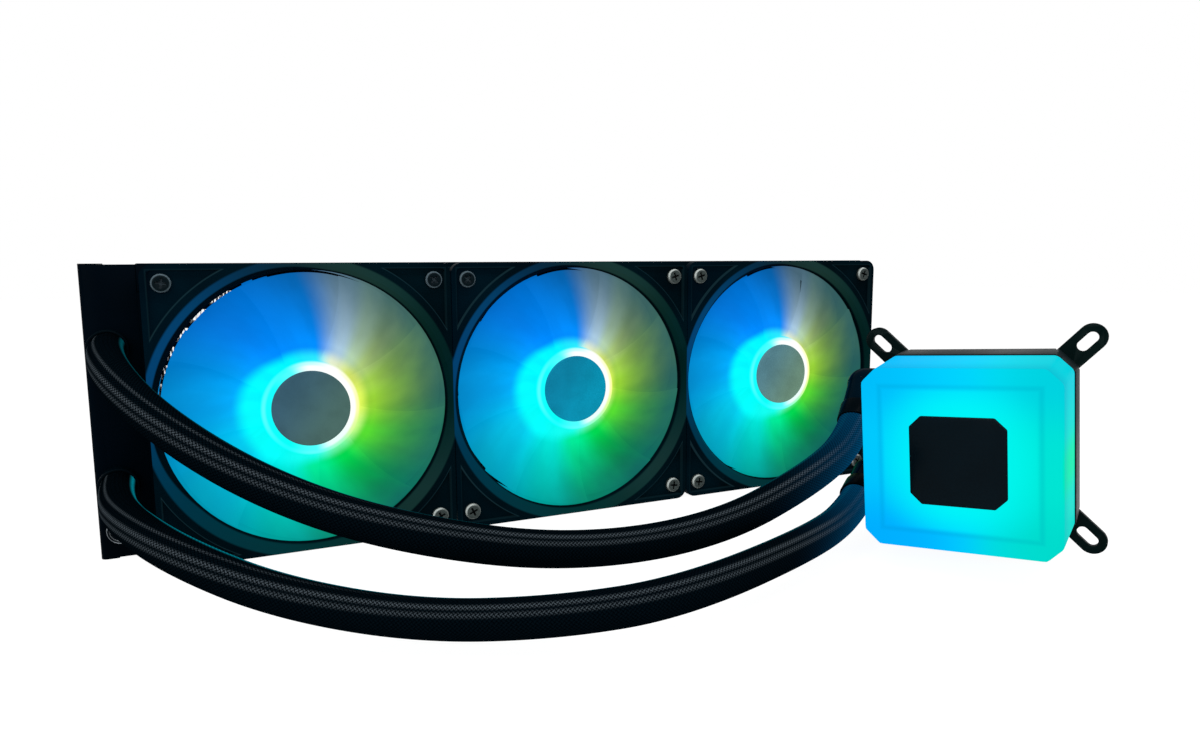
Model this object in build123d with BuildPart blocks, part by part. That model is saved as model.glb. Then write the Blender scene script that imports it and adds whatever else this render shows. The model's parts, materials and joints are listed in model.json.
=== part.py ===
from build123d import *
import math
import os

# A closed-loop liquid cooler: a radiator standing on its long edge, three fans on its front,
# two hoses out of its left end tank, and a lit pump head on the hoses' other ends.
# X runs along the radiator, Y points to its back and Z up. The origin is on the floor, under
# the middle of the radiator.

os.makedirs("parts", exist_ok=True)

# Fans, whose size sets the radiator's
fan_count = 3
fan_side = 119.6
fan_gap = 0.4
fan_depth = 25.0
fan_corner = 5.0
hole_edge_distance = 7.3
fan_hole_radius = 2.15
flange_thickness = 4.0
post_radius = 4.4
duct_rim = 2.6
duct_wall = 1.6
flare_depth = 3.4
flare_width = 2.1
pocket_depth = 1.6
pocket_rim = 2.2
pocket_inset = 8.2
motor_base_inset = 0.4
motor_base_thickness = 2.6
strut_count = 4
strut_width = 4.5
strut_depth = 3.6
strut_angle = 22.0
post_tube_radius = 5.0
post_tube_top = 15.0
bearing_radius = 3.0

# Radiator
radiator_depth = 27.0
core_margin = 2.0
left_tank_width = 20.0
right_tank_width = 12.0
tank_wall = 1.6
tank_corner = 2.5
tank_lip_width = 6.7
tank_lip_rise = 0.4
divider_thickness = 1.6
rail_height = 11.5
rail_wall = 1.2
header_thickness = 1.2
tube_count = 12
tube_thickness = 2.0
tube_depth = 20.0
tube_wall = 0.4
tube_reach = 1.0
fin_fold = 12.0
fin_foil = 0.5
braze_gap = 0.05
port_edge_distance = 8.6
port_heights = (86.6, 30.9)

# Filler
plug_edge_distance = 8.1
plug_height = 11.9
plug_radius = 5.5
plug_thickness = 1.4
plug_neck_radius = 3.4
plug_neck_length = 4.5
plug_socket = 2.2
seal_thickness = 0.5

# Fan motor
shaft_radius = 1.5
running_clearance = 0.05
fit_clearance = 0.02
fan_board_gap = 0.8
fan_board_thickness = 1.2
fan_light_size = 1.6
fan_light_height = 0.7
fan_light_inset = 2.2
fan_light_count = 8
stator_gap = 2.0
stator_lift = 0.2
stator_height = 8.0
stator_pole_count = 4
stator_pole_width = 5.0
stator_rim = 2.0
stator_yoke_wall = 2.4
magnet_wall = 2.1
magnet_height = 13.6

# Rotor
hub_radius = 20.0
hub_wall = 2.6
hub_bottom = 4.4
hub_height = 18.0
hub_face_thickness = 2.4
hub_edge = 1.4
hub_boss_radius = 4.2
cap_radius = 15.7
cap_thickness = 1.0
cap_recess = 0.4
blade_count = 9
blade_tip_gap = 1.1
blade_middle = 13.6
blade_thickness = 1.5
blade_edge_thickness = 0.7

# Each row of the blade: chord, pitch angle, sag of the curved section, swing round the hub
blade_root = (27.0, 30.0, 2.2, 0.0)
blade_waist = (43.0, 22.0, 3.2, 5.0)
blade_tip = (57.0, 17.0, 3.6, 14.0)
blade_root_sink = 5.0
blade_tip_spare = 2.1

# Fan screws, and the empty tapped holes in the radiator's back
rail_hole_radius = 1.65
rail_tap_radius = 1.25
screw_radius = 1.5
screw_head_radius = 3.6
screw_head_height = 2.4
screw_head_edge = 0.9
screw_reach = 2.6

# Hoses, as points that their middle lines follow from the tank to the pump head
hose_radius = 6.5
hose_route_upper = [
    (-193.4, -13.5, 86.6),
    (-193.4, -54.7, 86.6),
    (-177.3, -91.5, 69.8),
    (-146.9, -118.7, 49.8),
    (-108.9, -138.1, 34.9),
    (-50.8, -141.2, 19.5),
    (6.6, -147.5, 21.2),
    (54.7, -146.7, 37.7),
    (79.8, -136.4, 47.9),
    (89.5, -129.3, 57.6),
]
hose_route_lower = [
    (-193.4, -13.5, 30.9),
    (-193.4, -40.0, 30.9),
    (-187.0, -76.0, 31.3),
    (-169.9, -111.2, 27.3),
    (-142.9, -132.6, 17.3),
    (-105.3, -151.7, 10.0),
    (-68.2, -172.1, 11.9),
    (-27.0, -180.7, 14.3),
    (42.6, -158.0, 15.2),
    (76.0, -140.5, 17.0),
    (91.8, -130.8, 23.6),
]
port_radius = 4.0
collar_wall = 1.0
collar_gap = 0.1
tank_collar_length = 6.0
pump_collar_length = 8.0

# Pump head, measured from its cold face towards its lit front
pump_place = (133.2, -155.3, 48.1)
pump_turn = -58.2
pump_lean = 1.5
pump_roll = 3.4
pad_side = 44.0
pad_thickness = 0.6
plate_inset = 5.0
plate_corner = 8.0
plate_top = 3.0
plate_screw_inset = 4.0
micro_fin_count = 12
micro_fin_length = 26.0
micro_fin_pitch = 2.1
micro_fin_thickness = 0.6
micro_fin_height = 1.6
gasket_inset = 5.0
gasket_width = 2.5
gasket_thickness = 1.2
pump_screw_radius = 1.1
pump_screw_head_radius = 2.1
pump_screw_head_height = 1.2
pump_screw_reach = 5.0
bracket_bottom = 3.2
bracket_thickness = 2.0
bracket_gap = 0.5
bracket_screw_inset = 2.1
slot_half_spacing = 38.6
slot_travel = 4.8
slot_width = 4.2
ear_width = 10.5
housing_half = 35.8
housing_cut = 6.6
housing_bottom = 2.6
housing_top = 21.4
housing_wall = 2.5
base_gap = 0.3
base_cut = 5.6
base_step = 1.4
base_top = 20.0
chamber_radius = 14.0
chamber_depth = 5.2
chamber_gap = 0.4
stator_well_radius = 18.2
stator_well_depth = 8.4
cover_gap = 0.2
cover_thickness = 1.0
cover_cup_radius = 9.4
cover_height = 6.4
impeller_gap = 1.5
impeller_disc_thickness = 1.2
impeller_hub_radius = 3.2
vane_count = 6
vane_height = 2.6
vane_width = 1.2
vane_turn = 0.9
vane_bow = 0.18
magnet_gap = 0.6
impeller_magnet_height = 5.4
pin_radius = 1.0
pin_seat = 0.5
pump_stator_gap = 0.3
pump_stator_yoke = 2.4
pump_stator_height = 5.6
pump_pole_count = 6
pump_pole_width = 3.4
board_thickness = 1.4
pump_light_count = 12
pump_light_inset = 13.0
pump_light_size = 2.4
pump_light_height = 0.9
light_box_gap = 5.1
light_box_corner = 3.0
light_box_wall = 1.6
light_box_top_gap = 0.4
cap_inset = 0.5
cap_cut = 5.6
cap_depth = 32.6
cap_draft = 1.4
cap_wall = 2.2
cap_front = 2.4
cap_edge = 1.0
centre_half = 16.8
centre_cut = 4.1
centre_thickness = 1.2
elbow_level = 12.0
elbow_hole_gap = 0.2
elbow_radius = 7.4
elbow_outlet_radius = 7.0
elbow_flange_radius = 8.4
elbow_flange_thickness = 1.6
spigot_radius = 4.6
spigot_reach = 6.0

# Places and sizes worked out from the driving ones
fan_pitch = fan_side + fan_gap
hole_spacing = fan_side - 2 * hole_edge_distance
duct_radius = fan_side / 2 - duct_rim
pocket_arc_radius = duct_radius + pocket_inset
radiator_height = fan_pitch
core_length = fan_count * fan_pitch + 2 * core_margin
radiator_front = -radiator_depth / 2
radiator_back = radiator_depth / 2
core_end = core_length / 2
core_height = radiator_height - 2 * rail_height
fan_height = radiator_height / 2
fan_places = [fan_pitch * (number - (fan_count - 1) / 2) for number in range(fan_count)]
tube_gap = (core_height - tube_count * tube_thickness) / (tube_count + 1)
tube_pitch = tube_gap + tube_thickness
tank_edge = -core_end - left_tank_width
port_places = [(tank_edge + port_edge_distance, height) for height in port_heights]

hub_inside = hub_radius - hub_wall
motor_base_radius = hub_radius - motor_base_inset
fan_board_radius = hub_inside - fan_board_gap
fan_light_ring = fan_board_radius - fan_light_inset
stator_radius = hub_inside - magnet_wall - stator_gap
blade_tip_radius = duct_radius - blade_tip_gap

housing_inside = housing_half - housing_wall
base_half = housing_inside - base_gap
base_bottom = plate_top + gasket_thickness + base_step
plate_side = 2 * (base_half - plate_inset)
plate_screw_offset = plate_side / 2 - plate_screw_inset
bracket_opening = plate_side + 2 * bracket_gap
bracket_screw_offset = base_half - bracket_screw_inset
stator_well_bottom = base_top - stator_well_depth
chamber_bottom = stator_well_bottom - chamber_depth
cover_top = stator_well_bottom + cover_height
impeller_bottom = chamber_bottom + chamber_gap
impeller_disc_bottom = impeller_bottom + vane_height
impeller_radius = chamber_radius - impeller_gap
magnet_radius = cover_cup_radius - cover_thickness - magnet_gap
pin_bottom = chamber_bottom - pin_seat
pin_top = cover_top - cover_thickness + pin_seat - 2 * fit_clearance
pump_stator_radius = stator_well_radius - pump_stator_gap
pump_stator_bore = cover_cup_radius + pump_stator_gap
pump_light_ring = base_half - pump_light_inset
cap_half = housing_half - cap_inset
light_box_side = 2 * (cap_half - cap_wall - light_box_gap)
light_box_top = housing_top + cap_depth - cap_front - light_box_top_gap


def facing(x, y, z):
    """A plane square to the radiator that looks to the front, with its own Y upwards."""
    return Plane(origin=(x, y, z), x_dir=(1, 0, 0), z_dir=(0, -1, 0))


def octagon(half, cut):
    """The corners of a square with its four corners cut off."""
    inner = half - cut
    quarter = [(half, inner), (inner, half)]
    return [
        (x * math.cos(a) - y * math.sin(a), x * math.sin(a) + y * math.cos(a))
        for a in (0, math.pi / 2, math.pi, 3 * math.pi / 2)
        for x, y in quarter
    ]


def finish(part, name):
    """Names a finished piece and writes it."""
    part.label = name
    export_step(part, f"parts/{name}.step")


# Left end tank, with the hose ports, the filler hole and the divider between the two flows
with BuildPart() as tank_left:
    with BuildSketch(facing(0, radiator_back, fan_height)):
        with Locations((tank_edge + tank_lip_width / 2, 0)):
            Rectangle(tank_lip_width, radiator_height)
        with Locations((tank_edge + left_tank_width / 2, 0)):
            Rectangle(left_tank_width, radiator_height - 2 * tank_lip_rise)
    extrude(amount=radiator_depth)
    fillet(tank_left.edges().filter_by(Axis.Z).group_by(Axis.X)[0], tank_corner)
    fillet(tank_left.edges().group_by(Axis.X)[0].filter_by(Axis.Y), tank_corner / 2)
    half_height = fan_height - tank_wall - tank_lip_rise - divider_thickness / 2
    for floor in (tank_wall + tank_lip_rise, fan_height + divider_thickness / 2):
        with BuildSketch(Plane.XY.offset(floor)):
            with Locations((tank_edge + left_tank_width / 2, 0)):
                Rectangle(left_tank_width - 2 * tank_wall, radiator_depth - 2 * tank_wall)
        extrude(amount=half_height, mode=Mode.SUBTRACT)
        reach = core_height / 2 - divider_thickness / 2
        middle = fan_height + math.copysign(core_height / 4, floor - fan_height)
        with BuildSketch(Plane.YZ.offset(-core_end)):
            with Locations((0, middle)):
                Rectangle(radiator_depth - 2 * tank_wall, reach)
        extrude(amount=-tank_wall, mode=Mode.SUBTRACT)
    with BuildSketch(facing(0, radiator_front, 0)):
        with Locations(*port_places):
            Circle(port_radius)
        with Locations((tank_edge + plug_edge_distance, plug_height)):
            Circle(plug_neck_radius + braze_gap)
    extrude(amount=-tank_wall, mode=Mode.SUBTRACT)
finish(tank_left.part, "tank_left")

# Right end tank, where the flow turns back
with BuildPart() as tank_right:
    with BuildSketch(facing(core_end + right_tank_width / 2, radiator_back, fan_height)):
        Rectangle(right_tank_width, radiator_height)
    extrude(amount=radiator_depth)
    fillet(tank_right.edges().filter_by(Axis.Z).group_by(Axis.X)[-1], tank_corner)
    fillet(tank_right.edges().group_by(Axis.X)[-1].filter_by(Axis.Y), tank_corner / 2)
    with BuildSketch(Plane.XY.offset(tank_wall)):
        with Locations((core_end + right_tank_width / 2, 0)):
            Rectangle(right_tank_width - 2 * tank_wall, radiator_depth - 2 * tank_wall)
    extrude(amount=radiator_height - 2 * tank_wall, mode=Mode.SUBTRACT)
    with BuildSketch(Plane.YZ.offset(core_end)):
        with Locations((0, fan_height)):
            Rectangle(radiator_depth - 2 * tank_wall, core_height - 2 * tank_wall)
    extrude(amount=tank_wall, mode=Mode.SUBTRACT)
finish(tank_right.part, "tank_right")

# Header plates, with a slot for each flat tube
for name, start in (("header_left", -core_end), ("header_right", core_end - header_thickness)):
    with BuildPart() as header:
        with BuildSketch(Plane.YZ.offset(start)):
            with Locations((0, fan_height)):
                Rectangle(radiator_depth - 2 * braze_gap, core_height - 2 * braze_gap)
                with GridLocations(1, tube_pitch, 1, tube_count):
                    Rectangle(
                        tube_depth + 2 * braze_gap, tube_thickness + 2 * braze_gap, mode=Mode.SUBTRACT
                    )
        extrude(amount=header_thickness)
    finish(header.part, name)

# Side rails: closed channels that carry the screw holes of both faces
for name, base in (("rail_bottom", 0.0), ("rail_top", radiator_height - rail_height)):
    with BuildPart() as rail:
        with BuildSketch(Plane.YZ.offset(-core_end)):
            with Locations((0, base + rail_height / 2)):
                Rectangle(radiator_depth, rail_height)
                Rectangle(
                    radiator_depth - 2 * rail_wall, rail_height - 2 * rail_wall, mode=Mode.SUBTRACT
                )
        extrude(amount=core_length)
        hole_height = fan_height + math.copysign(hole_spacing / 2, base - fan_height)
        for face, radius, depth in (
            (radiator_front, rail_hole_radius, -rail_wall),
            (radiator_back, rail_tap_radius, rail_wall),
        ):
            with BuildSketch(facing(0, face, hole_height)):
                for place in fan_places:
                    with Locations((place - hole_spacing / 2, 0), (place + hole_spacing / 2, 0)):
                        Circle(radius)
            extrude(amount=depth, mode=Mode.SUBTRACT)
    finish(rail.part, name)

# Flat water tubes
with BuildPart() as core_tubes:
    with BuildSketch(Plane.YZ.offset(-core_end - tube_reach)):
        with Locations((0, fan_height)):
            with GridLocations(1, tube_pitch, 1, tube_count):
                Rectangle(tube_depth, tube_thickness)
                Rectangle(
                    tube_depth - 2 * tube_wall, tube_thickness - 2 * tube_wall, mode=Mode.SUBTRACT
                )
    extrude(amount=core_length + 2 * tube_reach)
finish(core_tubes.part, "core_tubes")


def fold_outline(low):
    """The closed outline of one folded strip of foil between two tubes."""
    start = -core_end + header_thickness + braze_gap
    folds = round(-2 * start / fin_fold)
    step = -2 * start / folds
    crest = low + tube_gap - 2 * braze_gap
    valley = low + fin_foil
    above = [(start + step * i, valley if i % 2 else crest) for i in range(folds + 1)]
    below = [(x, z - fin_foil) for x, z in reversed(above)]
    return above + below


# Folded fins, one strip over and under each tube
with BuildPart() as core_fins:
    with BuildSketch(facing(0, tube_depth / 2, 0)):
        for row in range(tube_count + 1):
            with BuildLine():
                Polyline(*fold_outline(rail_height + row * tube_pitch + braze_gap), close=True)
            make_face()
    extrude(amount=tube_depth)
finish(core_fins.part, "core_fins")

# Fill plug on its seal ring
plug_plane = facing(tank_edge + plug_edge_distance, radiator_front, plug_height)
with BuildPart() as fill_plug:
    with BuildSketch(plug_plane.offset(seal_thickness)):
        Circle(plug_radius)
    extrude(amount=plug_thickness)
    chamfer(fill_plug.edges().group_by(Axis.Y)[0], plug_thickness / 4)
    with BuildSketch(plug_plane.offset(seal_thickness + plug_thickness)):
        Circle(plug_radius * 0.78)
        Circle(plug_radius * 0.58, mode=Mode.SUBTRACT)
    extrude(amount=-plug_thickness / 3, mode=Mode.SUBTRACT)
    with BuildSketch(plug_plane.offset(seal_thickness)):
        Circle(plug_neck_radius)
    extrude(amount=-plug_neck_length)
    with BuildSketch(plug_plane.offset(seal_thickness + plug_thickness)):
        RegularPolygon(plug_socket, 6)
    extrude(amount=-plug_thickness * 1.5, mode=Mode.SUBTRACT)
finish(fill_plug.part, "fill_plug")

with BuildPart() as fill_plug_seal:
    with BuildSketch(plug_plane):
        Circle(plug_radius - seal_thickness)
        Circle(plug_neck_radius + braze_gap, mode=Mode.SUBTRACT)
    extrude(amount=seal_thickness)
finish(fill_plug_seal.part, "fill_plug_seal")

# One blade, about the fan's axis: a cambered section lofted from the hub to past the tip
with BuildPart() as blade:
    root_radius = hub_radius - blade_root_sink
    end_radius = blade_tip_radius + blade_tip_spare
    row_radii = (root_radius, (root_radius + end_radius) / 2, end_radius)
    for radius, row in zip(row_radii, (blade_root, blade_waist, blade_tip)):
        chord, pitch, sag, swing = row
        outward = Vector(1, 0, 0).rotate(Axis.Z, swing)
        section_plane = Plane(
            origin=outward * radius + Vector(0, 0, blade_middle),
            x_dir=Vector(0, 1, 0).rotate(Axis.Z, swing),
            z_dir=outward,
        )
        chord_line = Vector(chord / 2, 0).rotate(Axis.Z, pitch)
        rise = Vector(0, 1).rotate(Axis.Z, pitch)
        edge = rise * (blade_edge_thickness / 2)
        with BuildSketch(section_plane):
            with BuildLine():
                upper = ThreePointArc(
                    edge - chord_line, rise * (sag + blade_thickness / 2), chord_line + edge
                )
                lower = ThreePointArc(
                    chord_line - edge, rise * (sag - blade_thickness / 2), -chord_line - edge
                )
                Line(upper @ 1, lower @ 0)
                Line(lower @ 1, upper @ 0)
            make_face()
    loft()
    with BuildSketch():
        Circle(blade_tip_radius)
    extrude(amount=fan_depth, mode=Mode.INTERSECT)

# The three fans, each measured from its back on the radiator towards its front
for number, place in enumerate(fan_places, 1):
    rear = facing(place, radiator_front, fan_height)

    # Frame, with duct, flanges, corner posts, struts and the bearing tube in one moulding
    with BuildPart() as fan_frame:
        with BuildSketch(rear):
            RectangleRounded(fan_side, fan_side, fan_corner)
        extrude(amount=fan_depth)
        with BuildSketch(rear.offset(flange_thickness)):
            Rectangle(fan_side + 1, fan_side + 1)
            Circle(duct_radius + duct_wall, mode=Mode.SUBTRACT)
            with GridLocations(hole_spacing, hole_spacing, 2, 2):
                Circle(post_radius, mode=Mode.SUBTRACT)
        extrude(amount=fan_depth - 2 * flange_thickness, mode=Mode.SUBTRACT)
        with BuildSketch(rear):
            Circle(duct_radius)
        extrude(amount=fan_depth, mode=Mode.SUBTRACT)
        mouth = fan_frame.faces().sort_by(Axis.Y)[0].inner_wires().edges()
        chamfer(mouth, flare_depth, flare_width)
        with BuildSketch(rear.offset(fan_depth)):
            RectangleRounded(fan_side - 2 * pocket_rim, fan_side - 2 * pocket_rim, fan_corner / 2)
            Circle(pocket_arc_radius, mode=Mode.SUBTRACT)
        extrude(amount=-pocket_depth, mode=Mode.SUBTRACT)
        with BuildSketch(rear):
            with GridLocations(hole_spacing, hole_spacing, 2, 2):
                Circle(fan_hole_radius)
        extrude(amount=fan_depth, mode=Mode.SUBTRACT)
        with BuildSketch(rear):
            with PolarLocations((motor_base_radius + duct_radius) / 2, strut_count, strut_angle):
                Rectangle(duct_radius - motor_base_radius + 2, strut_width)
        extrude(amount=strut_depth)
        with BuildSketch(rear):
            Circle(motor_base_radius)
        extrude(amount=motor_base_thickness)
        with BuildSketch(rear.offset(motor_base_thickness)):
            Circle(post_tube_radius)
            Circle(bearing_radius + fit_clearance, mode=Mode.SUBTRACT)
        extrude(amount=post_tube_top - motor_base_thickness)
    finish(fan_frame.part, f"fan_{number}_frame")

    # Rotor: a cup-shaped hub and its blades in one frosted moulding
    with BuildPart(rear) as fan_rotor:
        with BuildSketch(rear.offset(hub_bottom)):
            Circle(hub_radius)
        extrude(amount=hub_height)
        fillet(fan_rotor.edges().group_by(Axis.Y)[0], hub_edge)
        with PolarLocations(0, blade_count):
            add(blade.part)
        with BuildSketch(rear.offset(hub_bottom)):
            Circle(hub_inside)
        extrude(amount=hub_height - hub_face_thickness, mode=Mode.SUBTRACT)
        boss_length = hub_bottom + hub_height - hub_face_thickness - post_tube_top - 1
        with BuildSketch(rear.offset(hub_bottom + hub_height - hub_face_thickness)):
            Circle(hub_boss_radius)
        extrude(amount=-boss_length)
        with BuildSketch(rear.offset(post_tube_top)):
            Circle(shaft_radius + fit_clearance)
        extrude(amount=boss_length + 1.4, mode=Mode.SUBTRACT)
        with BuildSketch(rear.offset(hub_bottom + hub_height)):
            Circle(cap_radius + fit_clearance)
        extrude(amount=-cap_recess, mode=Mode.SUBTRACT)
    finish(fan_rotor.part, f"fan_{number}_rotor")

    # Hub cap, let into the rotor's nose
    with BuildPart() as fan_hub_cap:
        with BuildSketch(rear.offset(hub_bottom + hub_height - cap_recess)):
            Circle(cap_radius)
        extrude(amount=cap_thickness)
        chamfer(fan_hub_cap.edges().group_by(Axis.Y)[0], cap_thickness / 3)
    finish(fan_hub_cap.part, f"fan_{number}_hub_cap")

    # Shaft, pressed into the hub and running in the bearing
    with BuildPart() as fan_shaft:
        with BuildSketch(rear.offset(motor_base_thickness + 0.3)):
            Circle(shaft_radius)
        extrude(amount=post_tube_top + boss_length + 1 - motor_base_thickness)
    finish(fan_shaft.part, f"fan_{number}_shaft")

    # Bearing sleeve in the frame's tube
    with BuildPart() as fan_bearing:
        with BuildSketch(rear.offset(motor_base_thickness)):
            Circle(bearing_radius)
            Circle(shaft_radius + running_clearance, mode=Mode.SUBTRACT)
        extrude(amount=post_tube_top - motor_base_thickness)
    finish(fan_bearing.part, f"fan_{number}_bearing")

    # Magnet ring, glued inside the hub
    with BuildPart() as fan_magnet:
        with BuildSketch(rear.offset(hub_bottom + hub_height - hub_face_thickness)):
            Circle(hub_inside - fit_clearance)
            Circle(hub_inside - magnet_wall, mode=Mode.SUBTRACT)
        extrude(amount=-magnet_height)
    finish(fan_magnet.part, f"fan_{number}_magnet")

    # Circuit board on the motor base, with its lights
    board_top = motor_base_thickness + fan_board_thickness
    with BuildPart() as fan_board:
        with BuildSketch(rear.offset(motor_base_thickness)):
            Circle(fan_board_radius)
            Circle(post_tube_radius + braze_gap, mode=Mode.SUBTRACT)
        extrude(amount=fan_board_thickness)
        with BuildSketch(rear.offset(board_top)):
            with PolarLocations(fan_light_ring, fan_light_count):
                Rectangle(fan_light_size, fan_light_size)
        extrude(amount=fan_light_height)
    finish(fan_board.part, f"fan_{number}_board")

    # Stator: a yoke round the bearing tube with four wound poles
    with BuildPart() as fan_stator:
        with BuildSketch(rear.offset(board_top + stator_lift)):
            Circle(stator_radius)
            Circle(stator_radius - stator_rim, mode=Mode.SUBTRACT)
            with PolarLocations(stator_radius, stator_pole_count, 45):
                Rectangle(2 * stator_pole_width, stator_pole_width, mode=Mode.SUBTRACT)
            with PolarLocations(stator_radius / 2, stator_pole_count):
                Rectangle(stator_radius - stator_rim / 2, stator_pole_width)
            Circle(post_tube_radius + stator_yoke_wall)
            Circle(post_tube_radius + braze_gap, mode=Mode.SUBTRACT)
        extrude(amount=stator_height)
    finish(fan_stator.part, f"fan_{number}_stator")

    # Four long pan-head screws, through the frame and into the rails
    head_seat = fan_depth - pocket_depth
    with BuildPart() as fan_screws:
        with BuildSketch(rear.offset(head_seat)):
            with GridLocations(hole_spacing, hole_spacing, 2, 2):
                Circle(screw_head_radius)
        extrude(amount=screw_head_height)
        chamfer(fan_screws.edges().group_by(Axis.Y)[0], screw_head_edge)
        with BuildSketch(rear.offset(head_seat)):
            with GridLocations(hole_spacing, hole_spacing, 2, 2):
                Circle(screw_radius)
        extrude(amount=-head_seat - screw_reach)
    finish(fan_screws.part, f"fan_{number}_screws")

# The pump head's own plane: its cold face, looking out of its lit front
pump_turns = Rotation(0, pump_turn, 0) * Rotation(pump_lean, 0, pump_roll)
pump = Plane(facing(*pump_place).location * pump_turns)
pump_axis = Axis(pump.origin, pump.z_dir)
sides = (-1, 1)
plate_screw_places = [
    (x * plate_screw_offset, y * plate_screw_offset) for x in sides for y in sides
]
bracket_screw_places = [(side * bracket_screw_offset, 0) for side in sides]
bracket_screw_places += [(0, side * bracket_screw_offset) for side in sides]


def bend_radii(route):
    """The largest arc that each corner of a hose's route has room for."""
    points = [Vector(*point) for point in route]
    radii = []
    for before, corner, after in zip(points, points[1:], points[2:]):
        turn = (corner - before).get_angle(after - corner)
        shorter = min((corner - before).length, (after - corner).length)
        radii.append(0.45 * shorter / math.tan(math.radians(turn) / 2))
    return radii


def hose_end(route):
    """The plane across a hose's pump end, looking back along the hose."""
    end = Vector(*route[-1])
    return Plane(origin=end, z_dir=Vector(*route[-2]) - end)


def elbow_centre(route):
    """Where an elbow turns: on the hose's line, at the height of the ports over the cold face."""
    end = hose_end(route)
    level = pump.to_local_coords(end.origin).Z
    return end.origin - end.z_dir * ((level - elbow_level) / end.z_dir.dot(pump.z_dir))


hose_routes = {"upper": hose_route_upper, "lower": hose_route_lower}
elbow_places = [pump.to_local_coords(elbow_centre(route)) for route in hose_routes.values()]

# Cold plate, with its contact pad outside and its fine fins in the water
with BuildPart() as cold_plate:
    with BuildSketch(pump):
        RectangleRounded(pad_side, pad_side, plate_corner / 2)
    extrude(amount=pad_thickness)
    with BuildSketch(pump.offset(pad_thickness)):
        RectangleRounded(plate_side, plate_side, plate_corner)
    extrude(amount=plate_top - pad_thickness)
    with BuildSketch(pump.offset(plate_top)):
        with GridLocations(1, micro_fin_pitch, 1, micro_fin_count):
            Rectangle(micro_fin_length, micro_fin_thickness)
    extrude(amount=micro_fin_height)
    with BuildSketch(pump.offset(pad_thickness)):
        with Locations(*plate_screw_places):
            Circle(pump_screw_radius + 0.1)
    extrude(amount=plate_top, mode=Mode.SUBTRACT)
    with BuildSketch(pump.offset(pad_thickness)):
        with Locations(*plate_screw_places):
            Circle(pump_screw_head_radius + 0.2)
    extrude(amount=pump_screw_head_height, mode=Mode.SUBTRACT)
finish(cold_plate.part, "cold_plate")

with BuildPart() as cold_plate_screws:
    with BuildSketch(pump.offset(pad_thickness)):
        with Locations(*plate_screw_places):
            Circle(pump_screw_head_radius)
    extrude(amount=pump_screw_head_height)
    with BuildSketch(pump.offset(pad_thickness + pump_screw_head_height)):
        with Locations(*plate_screw_places):
            Circle(pump_screw_radius)
    extrude(amount=pump_screw_reach)
finish(cold_plate_screws.part, "cold_plate_screws")

with BuildPart() as gasket:
    with BuildSketch(pump.offset(plate_top)):
        outside = plate_side - 2 * gasket_inset
        RectangleRounded(outside, outside, plate_corner - 1)
        inside = outside - 2 * gasket_width
        RectangleRounded(inside, inside, plate_corner - gasket_width, mode=Mode.SUBTRACT)
    extrude(amount=gasket_thickness)
finish(gasket.part, "gasket")

# Base: the impeller chamber below, the stator's well above, and the two side ports
base_foot = plate_top + gasket_thickness
with BuildPart() as pump_base:
    with BuildSketch(pump.offset(base_foot)):
        RectangleRounded(plate_side, plate_side, plate_corner)
    extrude(amount=base_bottom - base_foot)
    with BuildSketch(pump.offset(base_bottom)):
        Polygon(*octagon(base_half, base_cut))
    extrude(amount=base_top - base_bottom)
    with BuildSketch(pump.offset(stator_well_bottom)):
        Circle(stator_well_radius)
    extrude(amount=base_top - stator_well_bottom, mode=Mode.SUBTRACT)
    with BuildSketch(pump.offset(chamber_bottom)):
        Circle(chamber_radius)
    extrude(amount=stator_well_bottom - chamber_bottom, mode=Mode.SUBTRACT)
    with BuildSketch(pump.offset(base_foot)):
        Rectangle(micro_fin_length + 4, micro_fin_length + 4)
    extrude(amount=plate_top + micro_fin_height + 0.4 - base_foot, mode=Mode.SUBTRACT)
    with BuildSketch(pump.offset(pin_bottom)):
        Circle(pin_radius + fit_clearance)
    extrude(amount=chamber_bottom - pin_bottom, mode=Mode.SUBTRACT)
    with BuildSketch(pump.offset(base_foot)):
        with Locations(*plate_screw_places):
            Circle(pump_screw_radius + running_clearance)
    extrude(amount=pad_thickness + pump_screw_head_height + pump_screw_reach - base_foot + 0.2,
            mode=Mode.SUBTRACT)
    with BuildSketch(pump.offset(base_bottom)):
        with Locations(*bracket_screw_places):
            Circle(pump_screw_radius + running_clearance)
    extrude(amount=pump_screw_reach, mode=Mode.SUBTRACT)
    for port in elbow_places:
        port_plane = Plane(
            origin=pump.from_local_coords(Vector(-base_half, port.Y, port.Z)), z_dir=pump.x_dir
        )
        with BuildSketch(port_plane):
            Circle(spigot_radius + fit_clearance)
        extrude(amount=spigot_reach + 1, mode=Mode.SUBTRACT)
finish(pump_base.part, "pump_base")

# Chamber cover: a flange with a cup over the impeller's magnet, so that the coils stay dry
with BuildPart() as chamber_cover:
    with BuildSketch(pump.offset(stator_well_bottom)):
        Circle(stator_well_radius - cover_gap)
    extrude(amount=cover_thickness)
    with BuildSketch(pump.offset(stator_well_bottom)):
        Circle(cover_cup_radius)
    extrude(amount=cover_top - stator_well_bottom)
    with BuildSketch(pump.offset(stator_well_bottom)):
        Circle(cover_cup_radius - cover_thickness)
    extrude(amount=cover_top - cover_thickness - stator_well_bottom, mode=Mode.SUBTRACT)
    with BuildSketch(pump.offset(cover_top - cover_thickness)):
        Circle(pin_radius + fit_clearance)
    extrude(amount=pin_seat, mode=Mode.SUBTRACT)
finish(chamber_cover.part, "chamber_cover")

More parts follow.
